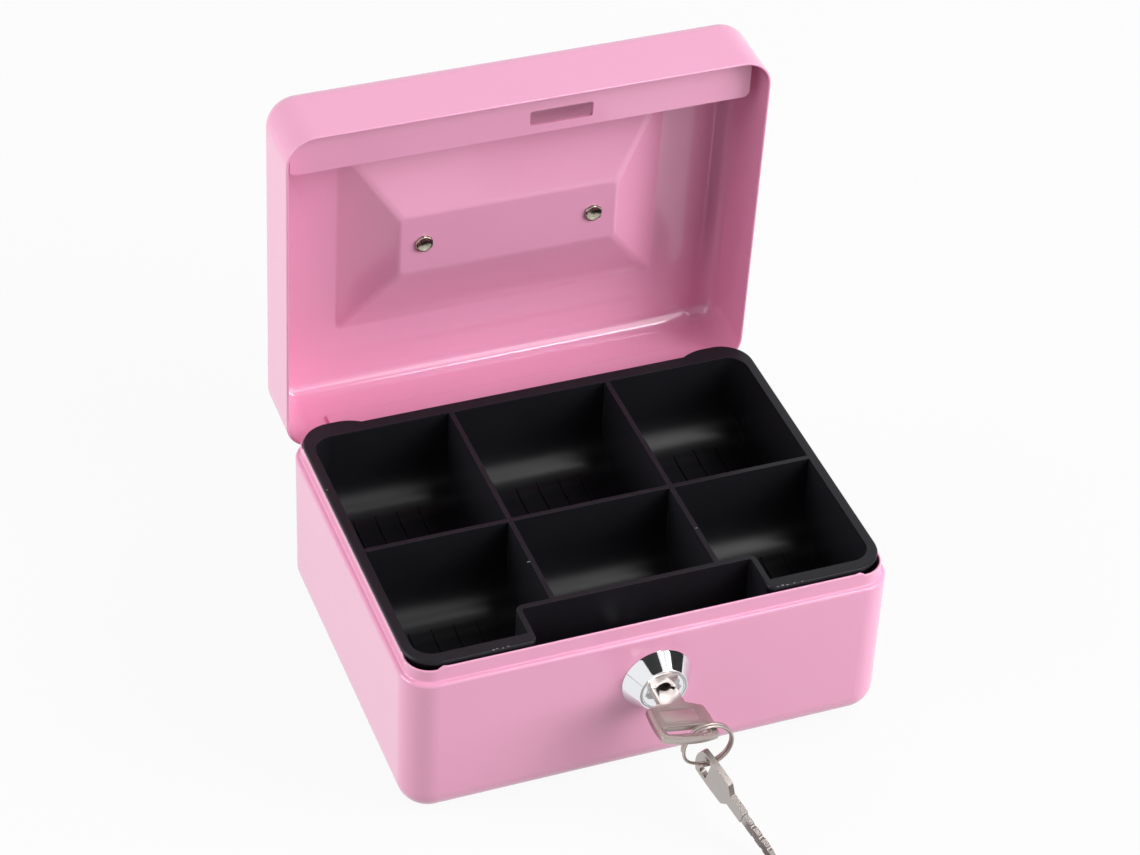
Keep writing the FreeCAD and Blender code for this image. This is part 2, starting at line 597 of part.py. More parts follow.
def wafer(index, y):
    """Wafer with a window for the key's blade and a pocket for its spring."""
    blank = lock_box(4 * PLUG_RADIUS, WAFER_HEIGHT, y, y + WAFER_SHEET)
    blank = blank.common(lock_cylinder(PLUG_RADIUS - WAFER_PLAY, y, y + WAFER_SHEET))
    window = lock_box(*WAFER_WINDOW, y - SHEET, y + 2 * WAFER_SHEET)
    away = -wafer_side(index)
    ends = sorted((LOCK_X + away * 2 * PLUG_RADIUS, LOCK_X + away * (PLUG_RADIUS - 2 * SPRING_LENGTH)))
    pocket = box_between((ends[0], y - SHEET, LOCK_Z - WAFER_HEIGHT),
                         (ends[1], y + 2 * WAFER_SHEET, LOCK_Z - WAFER_WINDOW[1] / 2))
    return blank.cut([window, pocket])


def wafers_on(side):
    """The wafers that spring out to one side, as separate solids."""
    return turned(Part.makeCompound([wafer(index, y) for index, y in enumerate(wafer_places())
                                     if wafer_side(index) == side]))


def wafer_springs():
    """One spring beside each wafer, as plain cylinders."""
    height = LOCK_Z - WAFER_HEIGHT / 2 + SPRING_RADIUS + WAFER_PLAY
    springs = []
    for index, y in enumerate(wafer_places()):
        away = -wafer_side(index)
        inner_end = LOCK_X + away * (PLUG_RADIUS - 2 * SPRING_LENGTH + WAFER_PLAY)
        springs.append(Part.makeCylinder(SPRING_RADIUS, SPRING_LENGTH,
                                         Vector(inner_end, y + WAFER_SHEET / 2, height), Vector(away, 0, 0)))
    return turned(Part.makeCompound(springs))


def lock_cam():
    """Hook that points sideways when unlocked and turns up through the striker plate's slot."""
    hub = lock_cylinder(CAM_HUB, CAM_FRONT, CAM_BACK)
    arm = box_between((LOCK_X, CAM_FRONT, LOCK_Z - CAM_HALF_WIDTH),
                      (LOCK_X + CAM_REACH, CAM_BACK, LOCK_Z + CAM_HALF_WIDTH))
    nose = box_between((LOCK_X + CAM_NOSE_START, CAM_FRONT, LOCK_Z),
                       (LOCK_X + CAM_REACH, CAM_BACK, LOCK_Z + CAM_NOSE))
    hole = PLUG_TAIL + 2 * PLUG_PLAY
    square = lock_box(hole, hole, CAM_FRONT - SHEET, CAM_BACK + SHEET)
    return turned(hub.fuse([arm, nose]).cut(square).removeSplitter())


def cam_washer():
    """Washer under the cam screw."""
    radius, height = CAM_WASHER
    ring = lock_cylinder(radius, CAM_BACK, CAM_BACK + height)
    return turned(ring.cut(lock_cylinder(CAM_SCREW_RADIUS, CAM_BACK - SHEET, CAM_BACK + 2 * height)))


def cam_screw():
    """Slotted screw that holds the cam on the plug."""
    radius, height = CAM_SCREW_HEAD
    seat = CAM_BACK + CAM_WASHER[1]
    head = lock_cylinder(radius, seat, seat + height)
    shank = lock_cylinder(CAM_SCREW_RADIUS, CAM_BACK - CAM_SCREW_LENGTH, seat)
    slot = lock_box(4 * radius, SHEET, seat + height / 2, seat + 2 * height)
    return turned(head.fuse(shank).cut(slot).removeSplitter())


def key_blank():
    """Key lying flat: width along X, blade towards +Y, the plug's face at Y 0."""
    bow_top = -KEY_NECK_LENGTH
    bow_end = bow_top - KEY_SHOULDER - BOW_LENGTH
    half = BOW_HALF_WIDTH
    outline = [Part.LineSegment(Vector(KEY_NECK_HALF, 0, 0), Vector(KEY_NECK_HALF, bow_top, 0)),
               Part.LineSegment(Vector(KEY_NECK_HALF, bow_top, 0), Vector(half, bow_top - KEY_SHOULDER, 0)),
               Part.Arc(Vector(half, bow_top - KEY_SHOULDER, 0),
                        Vector(half + BOW_SIDE_BULGE, bow_end + BOW_LENGTH / 2, 0), Vector(half, bow_end, 0))]
    edges = [piece.toShape() for piece in outline]
    edges += [edge.mirror(Vector(), Vector(1, 0, 0)) for edge in edges]
    edges.append(Part.Arc(Vector(half, bow_end, 0), Vector(0, bow_end - BOW_END_BULGE, 0),
                          Vector(-half, bow_end, 0)).toShape())
    edges.append(Part.LineSegment(Vector(-KEY_NECK_HALF, 0, 0), Vector(KEY_NECK_HALF, 0, 0)).toShape())
    bow = Part.Face(Part.Wire(Part.__sortEdges__(edges))).extrude(Vector(0, 0, KEY_SHEET))
    bow.translate(Vector(0, 0, -KEY_SHEET / 2))
    slot = box_between((-BOW_SLOT_LENGTH / 2, -BOW_SLOT_MIDDLE - BOW_SLOT_WIDTH / 2, -KEY_SHEET),
                       (BOW_SLOT_LENGTH / 2, -BOW_SLOT_MIDDLE + BOW_SLOT_WIDTH / 2, KEY_SHEET))
    slot = slot.makeFillet(BOW_SLOT_WIDTH / 2 - SHEET / 2, upright_edges(slot))

    tip = BLADE_LENGTH - BLADE_TIP
    profile = [Vector(-BLADE_HALF_WIDTH, -SHEET, 0), Vector(BLADE_HALF_WIDTH, -SHEET, 0),
               Vector(BLADE_HALF_WIDTH, tip, 0), Vector(BLADE_HALF_WIDTH / 2, BLADE_LENGTH, 0),
               Vector(-BLADE_HALF_WIDTH / 2, BLADE_LENGTH, 0), Vector(-BLADE_HALF_WIDTH, tip, 0)]
    blade = Part.Face(Part.makePolygon(profile + profile[:1])).extrude(Vector(0, 0, BLADE_SHEET))
    blade.translate(Vector(0, 0, -BLADE_SHEET / 2))
    cuts = []
    for index, y in enumerate(wafer_places()):
        at = Vector(wafer_side(index) * BLADE_HALF_WIDTH, y + WAFER_SHEET / 2 - PLUG_FACE, -KEY_SHEET)
        cuts.append(Part.makeCylinder(CUT_RADIUS, 2 * KEY_SHEET, at))
    return bow.cut(slot).fuse(blade.cut(cuts)).removeSplitter()


def key():
    """Key in the plug."""
    blank = key_blank()
    blank.translate(Vector(LOCK_X, PLUG_FACE, LOCK_Z))
    return turned(blank)


def ring_point(angle, level):
    """Point of the ring's centre line; the angle is seen from the front, level runs back."""
    turn = math.radians(angle)
    return Vector(RING_CENTRE[0] + RING_RADIUS * math.cos(turn), RING_Y + (level - 0.5) * RING_PITCH,
                  RING_CENTRE[1] + RING_RADIUS * math.sin(turn))


def climb_level(share):
    """Level at a share of the climb, which starts and ends without a kink."""
    if share < 0.5:
        return 2 * share ** 2
    return 1 - 2 * (1 - share) ** 2


def ring_stations():
    """Angle and level along the two turns: a flat turn, the climb, and another flat turn."""
    half_arc = (360 - RING_CLIMB) / RING_ARCS / 2
    climb_from = RING_STEP + 360
    climb_to = climb_from + RING_CLIMB
    stations = [(climb_from - half_arc * step, 0) for step in range(2 * RING_ARCS, -1, -1)]
    stations += [(climb_from + RING_CLIMB * quarter / 4, climb_level(quarter / 4)) for quarter in range(1, 5)]
    stations += [(climb_to + half_arc * step, 1) for step in range(1, 2 * RING_ARCS + 1)]
    return stations


def key_ring():
    """Split ring: one wire wound in two turns, whose ends lie on either side of the step."""
    points = [ring_point(*station) for station in ring_stations()]
    arcs = [Part.Arc(points[index], points[index + 1], points[index + 2]).toShape()
            for index in range(0, len(points) - 2, 2)]
    along = arcs[0].tangentAt(arcs[0].FirstParameter)
    section = Part.Wire(Part.makeCircle(RING_WIRE, points[0], along))
    return Part.Wire(arcs).makePipeShell([section], True, False)


def print_ring_gap():
    """Prints the least gap between the ring's turns, measured on its stations."""
    stations = ring_stations()
    gaps = []
    for first, (angle, level) in enumerate(stations):
        for other_angle, other_level in stations[first + 1:]:
            if other_angle - angle > 180:
                apart = ring_point(angle, level).distanceToPoint(ring_point(other_angle, other_level))
                gaps.append(apart - 2 * RING_WIRE)
    print("least gap between the ring's turns: %.2f mm" % min(gaps))


def spare_key():
    """Second key: its bow slot hangs on the ring and its tip leans on the table."""
    blank = key_blank()
    blank.translate(Vector(SPARE_SLOT_SHIFT, BOW_SLOT_MIDDLE, 0))
    blank.rotate(Vector(), Vector(0, 1, 0), SPARE_LEAN)
    blank.rotate(Vector(), Vector(1, 0, 0), -SPARE_DIP)
    blank.rotate(Vector(), Vector(0, 0, 1), SPARE_HEADING - 180)
    on_ring = ring_point(SPARE_ON_RING, 0.5)
    blank.translate(on_ring)
    return blank


def main():
    """Writes one file for every piece."""
    nodes = {
        "base_shell": base_shell(),
        "lid_shell": lid_shell(),
        "hinge_base_leaf": hinge_leaf(BASE_LEAF_BOTTOM, HINGE_Z, 0),
        "hinge_lid_leaf": opened(hinge_leaf(HINGE_Z, LID_LEAF_TOP, 1)),
        "hinge_pin": hinge_pin(),
        "lid_striker_plate": lid_striker_plate(),
        "handle_bracket_left": handle_bracket(-1),
        "handle_bracket_right": handle_bracket(1),
        "handle_rivets": handle_rivets(),
        "carry_handle": carry_handle(),
        "cash_tray": cash_tray(),
        "lock_housing": lock_housing(),
        "lock_washer": lock_washer(),
        "lock_nut": lock_nut(),
        "lock_plug": lock_plug(),
        "left_wafers": wafers_on(-1),
        "right_wafers": wafers_on(1),
        "wafer_springs": wafer_springs(),
        "lock_cam": lock_cam(),
        "cam_washer": cam_washer(),
        "cam_screw": cam_screw(),
        "key": key(),
        "key_ring": key_ring(),
        "spare_key": spare_key(),
    }
    os.makedirs("parts", exist_ok=True)
    for name, shape in nodes.items():
        shape.exportStep("parts/%s.step" % name)
        box = shape.BoundBox
        print("%-22s solids %d valid %s volume %.0f x %.1f..%.1f y %.1f..%.1f z %.1f..%.1f" % (
            name, len(shape.Solids), shape.isValid(), shape.Volume, box.XMin, box.XMax, box.YMin, box.YMax,
            box.ZMin, box.ZMax))
    print_ring_gap()


main()
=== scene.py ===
"""Looks of a small steel cash box: pressed and painted sheet, a moulded coin tray, a plated cam lock with
its keys, and a plain white studio. Lengths are in metres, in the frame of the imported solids."""

import json
import math

import bmesh
import bpy
import numpy as np
from mathutils import Matrix, Vector


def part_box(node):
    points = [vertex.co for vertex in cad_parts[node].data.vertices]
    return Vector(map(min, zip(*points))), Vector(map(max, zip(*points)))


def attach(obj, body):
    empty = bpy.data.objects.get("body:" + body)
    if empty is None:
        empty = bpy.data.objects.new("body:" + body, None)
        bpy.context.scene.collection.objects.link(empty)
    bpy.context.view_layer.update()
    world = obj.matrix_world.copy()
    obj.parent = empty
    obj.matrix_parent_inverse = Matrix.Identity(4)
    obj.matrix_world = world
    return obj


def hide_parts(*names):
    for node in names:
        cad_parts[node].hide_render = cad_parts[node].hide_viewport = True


bl_info = {
    "name": "Cash Box",
    "version": (1, 0, 0),
    "blender": (4, 5, 0),
    "location": "View3D > Sidebar > Cash Box",
    "description": "Surfaces, finishes and studio of a steel cash box, built round its solids",
    "category": "Object",
}

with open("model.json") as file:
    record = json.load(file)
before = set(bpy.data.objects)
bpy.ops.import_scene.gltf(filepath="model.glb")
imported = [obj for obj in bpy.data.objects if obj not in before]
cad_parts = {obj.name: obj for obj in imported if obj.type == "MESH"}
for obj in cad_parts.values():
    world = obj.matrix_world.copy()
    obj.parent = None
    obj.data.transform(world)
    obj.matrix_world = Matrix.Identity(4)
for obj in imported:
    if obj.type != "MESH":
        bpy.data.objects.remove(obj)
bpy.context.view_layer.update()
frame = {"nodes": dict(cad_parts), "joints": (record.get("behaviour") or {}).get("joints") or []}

MM = 0.001
QUARTER = math.pi / 2
FULL_TURN = 2 * math.pi
JOINTS = {joint["name"]: joint for joint in frame["joints"]}
BASE_TOP_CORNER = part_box("base_shell")[1]
LOCK_AXIS = JOINTS["plug_turn"]["pos_m"]
LID_SWING = math.radians(-JOINTS["lid_hinge"]["range_deg"][0])
HOUSING_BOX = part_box("lock_housing")
FRONT_WALL = -BASE_TOP_CORNER.y


# Properties

def number(name, description, value, **kind):
    """Number property of some kind, which is its unit, subtype or limits."""
    return bpy.props.FloatProperty(name=name, description=description, default=value, **kind)


def length(name, description, millimetres):
    """Length property, given in millimetres and kept in metres."""
    return number(name, description, millimetres * MM, unit="LENGTH", precision=5)


def degrees(name, description, value):
    """Angle property, given in degrees and kept in radians."""
    return number(name, description, math.radians(value), subtype="ANGLE")


def watts(name, description, value):
    """Power property of a lamp."""
    return number(name, description, value, unit="POWER")


def fraction(name, description, value):
    """Property that runs from 0 to 1."""
    return number(name, description, value, subtype="FACTOR", min=0.0, max=1.0)


def colour(name, description, value):
    """Linear colour property."""
    return bpy.props.FloatVectorProperty(name=name, description=description, default=value,
                                         subtype="COLOR", size=3, min=0.0, max=1.0)


class CashBoxShell(bpy.types.PropertyGroup):
    """Sizes of the pressed base and lid."""

    half_width: length("Half width", "Half of the box's width", BASE_TOP_CORNER.x / MM)
    half_depth: length("Half depth", "Half of the box's depth", BASE_TOP_CORNER.y / MM)
    sheet: length("Sheet", "Thickness of the steel sheet", 0.8)
    corner_radius: length("Corner radius", "Radius of the upright corners", 9.5)
    bottom_radius: length("Bottom radius", "Radius of the base's bottom edge", 8.5)
    shoulder_height: length("Shoulder height", "Height of the shoulder under the neck", 52.0)
    shoulder_radius: length("Shoulder radius", "Outer bend of the shoulder", 1.05)
    neck_fillet: length("Neck fillet", "Inner bend between the shoulder and the neck", 0.55)
    neck_top: length("Neck top", "Height of the neck's edge", BASE_TOP_CORNER.z / MM)
    corner_drop: length("Corner drop", "How much lower the neck's edge is at its corners", 0.8)
    burr: length("Burr", "Height of the burr beside each corner of the neck", 0.35)
    lock_dent: length("Lock dent", "How far the lock draws the front wall in", 0.12)
    lid_rim: length("Lid rim", "Height of the closed lid's rim", 52.3)
    lid_top: length("Lid top", "Height of the closed lid's top", 78.5)
    lid_edge_radius: length("Lid edge radius", "Radius of the lid's top edge", 6.5)
    dish_width: length("Dish width", "Width of the handle dish at its mouth", 104.6)
    dish_length: length("Dish length", "Front to back size of the dish at its mouth", 70.7)
    dish_floor_width: length("Dish floor width", "Width of the dish's floor", 70.2)
    dish_floor_length: length("Dish floor length", "Front to back size of the dish's floor", 21.3)
    dish_depth: length("Dish depth", "Depth of the handle dish", 9.4)
    dish_corner: length("Dish corner", "Radius of the dish's slanted edges", 1.8)


class CashBoxLock(bpy.types.PropertyGroup):
    """Sizes of the lock's housing."""

    bezel_radius: length("Bezel radius", "Radius of the conical head at the wall", 11.0)
    rim_radius: length("Rim radius", "Outer radius of the head's flat rim", 7.65)
    plug_room: length("Plug room", "Radius of the room for the plug's head", 6.46)
    plug_room_depth: length("Plug room depth", "Depth of the room for the plug's head", 2.26)
    bore: length("Bore", "Radius of the bore for the plug", 5.26)
    body_radius: length("Body radius", "Radius of the threaded body", 8.0)
    body_flat: length("Body flat", "Distance of the body's flats from the axis", 6.7)
    edge_radius: length("Edge radius", "Rounding of the head's edges", 0.3)
    thread_pitch: length("Thread pitch", "Pitch of the body's thread", 1.0)
    thread_depth: length("Thread depth", "Depth of the body's thread", 0.3)
    mouth_radius: length("Mouth radius", "Radius of the arch over the key", 2.4)
    mouth_level: length("Mouth level", "Height of the arch's foot over the axis", 0.5)
    groove_reach: length("Groove reach", "Distance of the wafer grooves' floors from the axis", 6.0)
    groove_height: length("Groove height", "Height of a wafer groove", 5.4)
    groove_start: length("Groove start", "Distance of the grooves' front ends from the head's front", 3.6)
    groove_end: length("Groove end", "Distance of the grooves' back ends from the head's front", 13.8)


class CashBoxKeys(bpy.types.PropertyGroup):
    """Sizes and places of the two keys and their ring."""

    sheet: length("Key thickness", "Thickness of a key's bow", 1.8)
    bow_half_width: length("Bow half width", "Half of the bow's width", 9.0)
    bow_top: length("Bow top", "Distance of the bow's top from the plug's face", 6.6)
    bow_shoulder: length("Bow shoulder", "Length of the bow's sloped shoulders", 2.0)
    bow_end: length("Bow end", "Distance of the bow's outer corners from the plug's face", 21.2)
    neck_half_width: length("Neck half width", "Half of the neck's width", 4.0)
    slot_middle: length("Slot middle", "Distance of the ring slot from the plug's face", 18.3)
    slot_half_length: length("Slot half length", "Half of the ring slot's length", 6.8)
    slot_half_width: length("Slot half width", "Half of the ring slot's width", 1.5)
    panel_half_width: length("Panel half width", "Half of the plain panel's width", 5.2)
    panel_half_height: length("Panel half height", "Half of the plain panel's height", 1.9)
    panel_middle: length("Panel middle", "Distance of the panel's middle from the plug's face", 12.2)
    hatch_pitch: length("Hatch pitch", "Distance between the hatching's ridges", 0.5)
    hatch_height: length("Hatch height", "Height of the hatching's ridges", 0.2)
    hatch_rim: length("Hatch rim", "Width of the plain rim round the hatching", 1.0)
    hatch_gap: length("Hatch gap", "Distance of the hatching from the panel and the slot", 0.2)
    ring_radius: length("Ring radius", "Radius of the ring's centre line", 7.6)
    ring_wire: length("Ring wire", "Radius of the ring's wire", 0.5)
    ring_pitch: length("Ring pitch", "Distance between the ring's two turns", 1.06)


class CashBoxColours(bpy.types.PropertyGroup):
    """Colours of the finishes."""

    enamel: colour("Enamel", "Pink of the painted sheet", (0.85, 0.385, 0.570))
    enamel_deep: colour("Deep enamel", "Pink where the paint lies thicker", (0.82, 0.350, 0.540))
    plastic: colour("Plastic", "Black of the coin tray", (0.0105, 0.0103, 0.0127))
    chrome: colour("Chrome", "Chromed lock", (0.83, 0.84, 0.86))
    nickel: colour("Nickel", "Nickelled key in the lock, and the ring", (0.52, 0.455, 0.425))
    # Painted shade: the spare key's colour is the key's nickel made darker.
    shaded_spare_nickel: colour("Worn nickel", "Spare key", (0.40, 0.355, 0.335))
    zinc: colour("Zinc", "Zinc plating inside the box", (0.58, 0.585, 0.60))
    steel: colour("Steel", "Plated handle, brackets and rivets", (0.72, 0.72, 0.71))
    # The rivets' nickel is darker than plated steel: partly its own tone, partly painted shade for what the
    # rivets mirror.
    rivet: colour("Rivet", "Nickelled rivets inside the lid", (0.50, 0.455, 0.38))
    brass: colour("Brass", "Wafers of the lock", (0.76, 0.55, 0.24))


class CashBoxStudio(bpy.types.PropertyGroup):
    """Camera and light of the studio."""

    camera_place: bpy.props.FloatVectorProperty(
        name="Camera place", description="Where the camera stands", subtype="XYZ", unit="LENGTH",
        default=(-0.29703, -0.71237, 0.70145), precision=5)
    camera_azimuth: degrees("Azimuth", "How far the camera stands to the left of the front", 22.189)
    camera_elevation: degrees("Elevation", "How far the camera looks down", 38.659)
    camera_roll: degrees("Roll", "Turn of the camera about its line of sight", 2.8)
    lens: number("Lens", "Focal length", 105.41, unit="CAMERA")
    ambient: fraction("Ambient", "Light from all around, as a share of full white", 0.24)
    front_power: watts("Front light", "Power of the softbox over the front", 13.5)
    side_power: watts("Side light", "Power of the softbox on the left", 15.9)
    strip_power: watts("Strip light", "Power of the narrow strip lamp", 4.0)
    fill_power: watts("Fill light", "Power of the low fill lamp on the right", 15.5)
    back_power: watts("Back light", "Power of the fill lamp behind the box", 8.0)
    floor_grey: fraction("Floor grey", "How much light the table sends back", 0.38)
    floor_share: fraction("Floor share", "How much of the table's look is its own white", 0.88)
    floor_glow: number("Floor glow", "Brightness of the table's own white", 1.05)


# Shader nodes

class Value:
    """Output of a shader node. Arithmetic on it adds Math nodes."""

    def __init__(self, tree, socket):
        self.tree = tree
        self.socket = socket

    def combine(self, operation, first, second):
        """Math node of two values."""
        return self.tree.node("ShaderNodeMath", {"operation": operation}, {0: first, 1: second})

    def __add__(self, other):
        return self.combine("ADD", self, other)

    def __radd__(self, other):
        return self.combine("ADD", other, self)

    def __sub__(self, other):
        return self.combine("SUBTRACT", self, other)

    def __rsub__(self, other):
        return self.combine("SUBTRACT", other, self)

    def __mul__(self, other):
        return self.combine("MULTIPLY", self, other)

    def __rmul__(self, other):
        return self.combine("MULTIPLY", other, self)

    def __gt__(self, other):
        return self.combine("GREATER_THAN", self, other)

    def __lt__(self, other):
        return self.combine("LESS_THAN", self, other)


class Nodes:
    """Node tree of a material or of the world, whose new nodes all come from one method."""

    def __init__(self, owner):
        owner.use_nodes = True
        self.nodes = owner.node_tree.nodes
        self.links = owner.node_tree.links

    def node(self, kind, settings=None, inputs=None, output=0):
        """Node of a kind: its settings are set first, then its sockets get values or links."""
        node = self.nodes.new(kind)
        for name, value in (settings or {}).items():
            setattr(node, name, value)
        self.feed(node, inputs or {})
        return Value(self, node.outputs[output])

    def feed(self, node, inputs):
        """Gives sockets of a node their values or links."""
        for name, value in inputs.items():
            if isinstance(value, Value):
                self.links.new(value.socket, node.inputs[name])
            else:
                node.inputs[name].default_value = value

    def seen(self):
        """1 for rays that see a surface directly, in a mirror or through glass, and 0 for the rest."""
        direct, mirrored, through = [self.node("ShaderNodeLightPath", output=f"Is {kind} Ray")
                                     for kind in ("Camera", "Glossy", "Transmission")]
        return through.combine("MAXIMUM", direct.combine("MAXIMUM", direct, mirrored), through)


class Finish(Nodes):
    """Material with one Principled shader."""

    def __init__(self, name):
        self.material = bpy.data.materials.new(name)
        super().__init__(self.material)
        self.shader = self.nodes["Principled BSDF"]
        self.place = self.node("ShaderNodeTexCoord", output="Object")

    def shade(self, **inputs):
        """Sets sockets of the Principled shader, named with underscores for spaces."""
        self.feed(self.shader, {name.replace("_", " "): value for name, value in inputs.items()})

    def mapped(self, stretch):
        """Object coordinates scaled along each axis."""
        return self.node("ShaderNodeMapping", None, {"Vector": self.place, "Scale": stretch}, "Vector")

    def noise(self, grain, detail=2.0, place=None):
        """Noise from 0 to 1 with grains of about one size."""
        return self.node("ShaderNodeTexNoise", None,
                         {"Vector": place or self.place, "Scale": 1 / grain, "Detail": detail}, "Fac")

    def specks(self, spacing, radius, share):
        """1 in round specks: cells of one spacing, of which a share holds a speck of that radius."""
        cells = {"Vector": self.place, "Scale": 1 / spacing}
        near = self.node("ShaderNodeTexVoronoi", None, cells, "Distance") < radius / spacing
        tint = self.node("ShaderNodeTexVoronoi", None, cells, "Color")
        chosen = self.node("ShaderNodeSeparateColor", None, {"Color": tint}, "Red") < share
        return near * chosen

    def mix(self, factor, first, second):
        """Colour between two colours."""
        return self.node("ShaderNodeMix", {"data_type": "RGBA"},
                         {0: factor, 6: opaque(first), 7: opaque(second)}, 2)

    def bump(self, height, depth):
        """Normal of a surface with relief of that depth."""
        return self.node("ShaderNodeBump", None, {"Height": height, "Distance": depth, "Strength": 1.0},
                         "Normal")


def opaque(value):
    """Colour with full alpha, or a node's output as it is."""
    if isinstance(value, Value):
        return value
    return (*value, 1.0)


def toned(value, share):
    """Colour scaled by a share: below 1 it is darker, above 1 lighter."""
    return tuple(share * channel for channel in value)


# Finishes

def mottled(finish, marks, dark, light, smoothest, swing, relief, metallic=0.0):
    """Material between two colours: marks from 0 to 1 turn it lighter, rougher by a swing, and higher."""
    finish.shade(Base_Color=finish.mix(marks, dark, light), Metallic=metallic,
                 Roughness=smoothest + swing * marks, Normal=finish.bump(marks, relief))
    return finish.material


def pink_enamel(colours):
    """Stoved enamel on steel: faint clouds, orange peel, a few dust grains and a clear gloss."""
    finish = Finish("Stoved pink enamel")
    cloud = finish.noise(38 * MM, 3.0)
    peel = finish.noise(1.1 * MM, 1.5)
    dust = finish.specks(7 * MM, 0.16 * MM, 0.10)
    paint = finish.mix(cloud, colours.enamel_deep, colours.enamel)
    finish.shade(Base_Color=finish.mix(dust * 0.5, paint, toned(colours.enamel_deep, 0.45)),
                 Roughness=0.09 + 0.05 * cloud + 0.03 * peel,
                 Coat_Weight=0.22, Coat_Roughness=0.02, IOR=1.48,
                 Normal=finish.bump(peel + 2.0 * dust, 0.004 * MM))
    return finish.material


def black_plastic(colours):
    """Moulded polystyrene: fine spark texture, soft gloss, flow marks and grains of dust."""
    finish = Finish("Moulded black plastic")
    spark = finish.noise(0.22 * MM, 2.0)
    flow = finish.noise(24 * MM, 2.0, finish.mapped((1.0, 0.25, 1.0)))
    dust = finish.specks(6 * MM, 0.14 * MM, 0.07)
    body = finish.mix(flow, toned(colours.plastic, 0.8), toned(colours.plastic, 1.25))
    finish.shade(Base_Color=finish.mix(dust * 0.5, body, (0.16, 0.155, 0.16)),
                 Roughness=0.26 + 0.06 * flow + 0.05 * spark, IOR=1.27,
                 Normal=finish.bump(spark, 0.004 * MM))
    return finish.material


def whitened_plastic(colours):
    """Flash of the same plastic, whitened where it was bent off."""
    finish = Finish("Whitened plastic")
    stress = finish.noise(0.3 * MM, 2.0)
    return mottled(finish, stress, toned(colours.plastic, 4.0), (0.30, 0.28, 0.27), 0.45, 0.2, 0.02 * MM)


def polished_chrome(colours):
    """Bright chrome plating with a few pits and faint polishing lines."""
    finish = Finish("Polished chrome")
    lines = finish.noise(0.5 * MM, 2.0, finish.mapped((0.15, 1.0, 1.0)))
    pits = finish.specks(1.3 * MM, 0.09 * MM, 0.12)
    finish.shade(Base_Color=finish.mix(pits, colours.chrome, toned(colours.chrome, 0.6)), Metallic=1.0,
                 Roughness=0.035 + 0.03 * lines + 0.15 * pits,
                 Normal=finish.bump(lines * 0.2 - pits, 0.004 * MM))
    return finish.material


def scratched_nickel(name, tone):
    """Tumbled nickel silver: soft gloss, fine scratches in all directions and small dings."""
    finish = Finish(name)
    scratches = finish.noise(0.35 * MM, 3.0, finish.mapped((1.0, 0.12, 1.0)))
    across = finish.noise(0.35 * MM, 3.0, finish.mapped((0.12, 1.0, 0.3)))
    cloud = finish.noise(5 * MM, 2.0)
    dings = finish.specks(1.6 * MM, 0.18 * MM, 0.2)
    finish.shade(Base_Color=finish.mix(cloud, toned(tone, 0.86), tone), Metallic=1.0,
                 Roughness=0.22 + 0.10 * scratches + 0.08 * cloud + 0.05 * dings,
                 Normal=finish.bump(scratches * 0.5 + across * 0.5 - dings * 0.6, 0.012 * MM))
    return finish.material


def tumbled_nickel(colours):
    """Finish of the key in the lock and of the ring."""
    return scratched_nickel("Tumbled nickel", colours.nickel)


def shaded_spare_nickel(colours):
    """Copy of the key's nickel made darker for the spare key: the darkness is painted shade, not wear."""
    return scratched_nickel("Worn nickel", colours.shaded_spare_nickel)


def zinc_plate(colours):
    """Dull zinc plating with a mottled bloom."""
    finish = Finish("Zinc plate")
    bloom = finish.noise(1.8 * MM, 3.0)
    grain = finish.noise(0.2 * MM, 2.0)
    finish.shade(Base_Color=finish.mix(bloom, toned(colours.zinc, 0.8), colours.zinc), Metallic=1.0,
                 Roughness=0.30 + 0.16 * bloom + 0.06 * grain, Normal=finish.bump(grain, 0.006 * MM))
    return finish.material


def bright_steel(colours):
    """Nickel-plated steel wire and strip: bright, with drawing lines along its length."""
    finish = Finish("Plated steel")
    drawn = finish.noise(0.3 * MM, 3.0, finish.mapped((0.05, 1.0, 1.0)))
    spots = finish.specks(2.4 * MM, 0.2 * MM, 0.1)
    finish.shade(Base_Color=finish.mix(spots, colours.steel, toned(colours.steel, 0.6)), Metallic=1.0,
                 Roughness=0.14 + 0.14 * drawn + 0.15 * spots, Normal=finish.bump(drawn, 0.005 * MM))
    return finish.material


def stamped_brass(colours):
    """Stamped brass sheet with a slight tarnish."""
    finish = Finish("Stamped brass")
    tarnish = finish.noise(1.5 * MM, 3.0)
    return mottled(finish, tarnish, toned(colours.brass, 0.7), colours.brass, 0.26, 0.2, 0.01 * MM, 1.0)


def shaded_rivet_nickel(colours):
    """Rivets of warm nickel with pressing marks, darker than plated steel: partly the nickel's own tone,
    partly painted shade for the dark surroundings that they mirror.
    """
    finish = Finish("Dull nickel rivets")
    marks = finish.noise(0.5 * MM, 3.0)
    return mottled(finish, marks, toned(colours.rivet, 0.7), colours.rivet, 0.2, 0.15, 0.02 * MM, 1.0)


def keyway_shade_steel(colours):
    """Near-black metal on the faces cut for the keyway's mouth, mottled by a noise: painted shade deep inside
    the keyway.
    """
    finish = Finish("Greased steel")
    shade_mottle = finish.noise(0.6 * MM, 3.0)
    return mottled(finish, shade_mottle, (0.004, 0.004, 0.004), (0.02, 0.018, 0.016), 0.5, 0.3, 0.02 * MM)


FINISHES = {
    "pink_enamel": pink_enamel,
    "hinge_steel": bright_steel,
    "plated_steel": bright_steel,
    "black_plastic": black_plastic,
    "lock_chrome": polished_chrome,
    "zinc_steel": zinc_plate,
    "wafer_brass": stamped_brass,
    "key_nickel": tumbled_nickel,
    "keyway": keyway_shade_steel,
    "rivets": shaded_rivet_nickel,
    "spare": shaded_spare_nickel,
    "flash": whitened_plastic,
}
MADE = {}


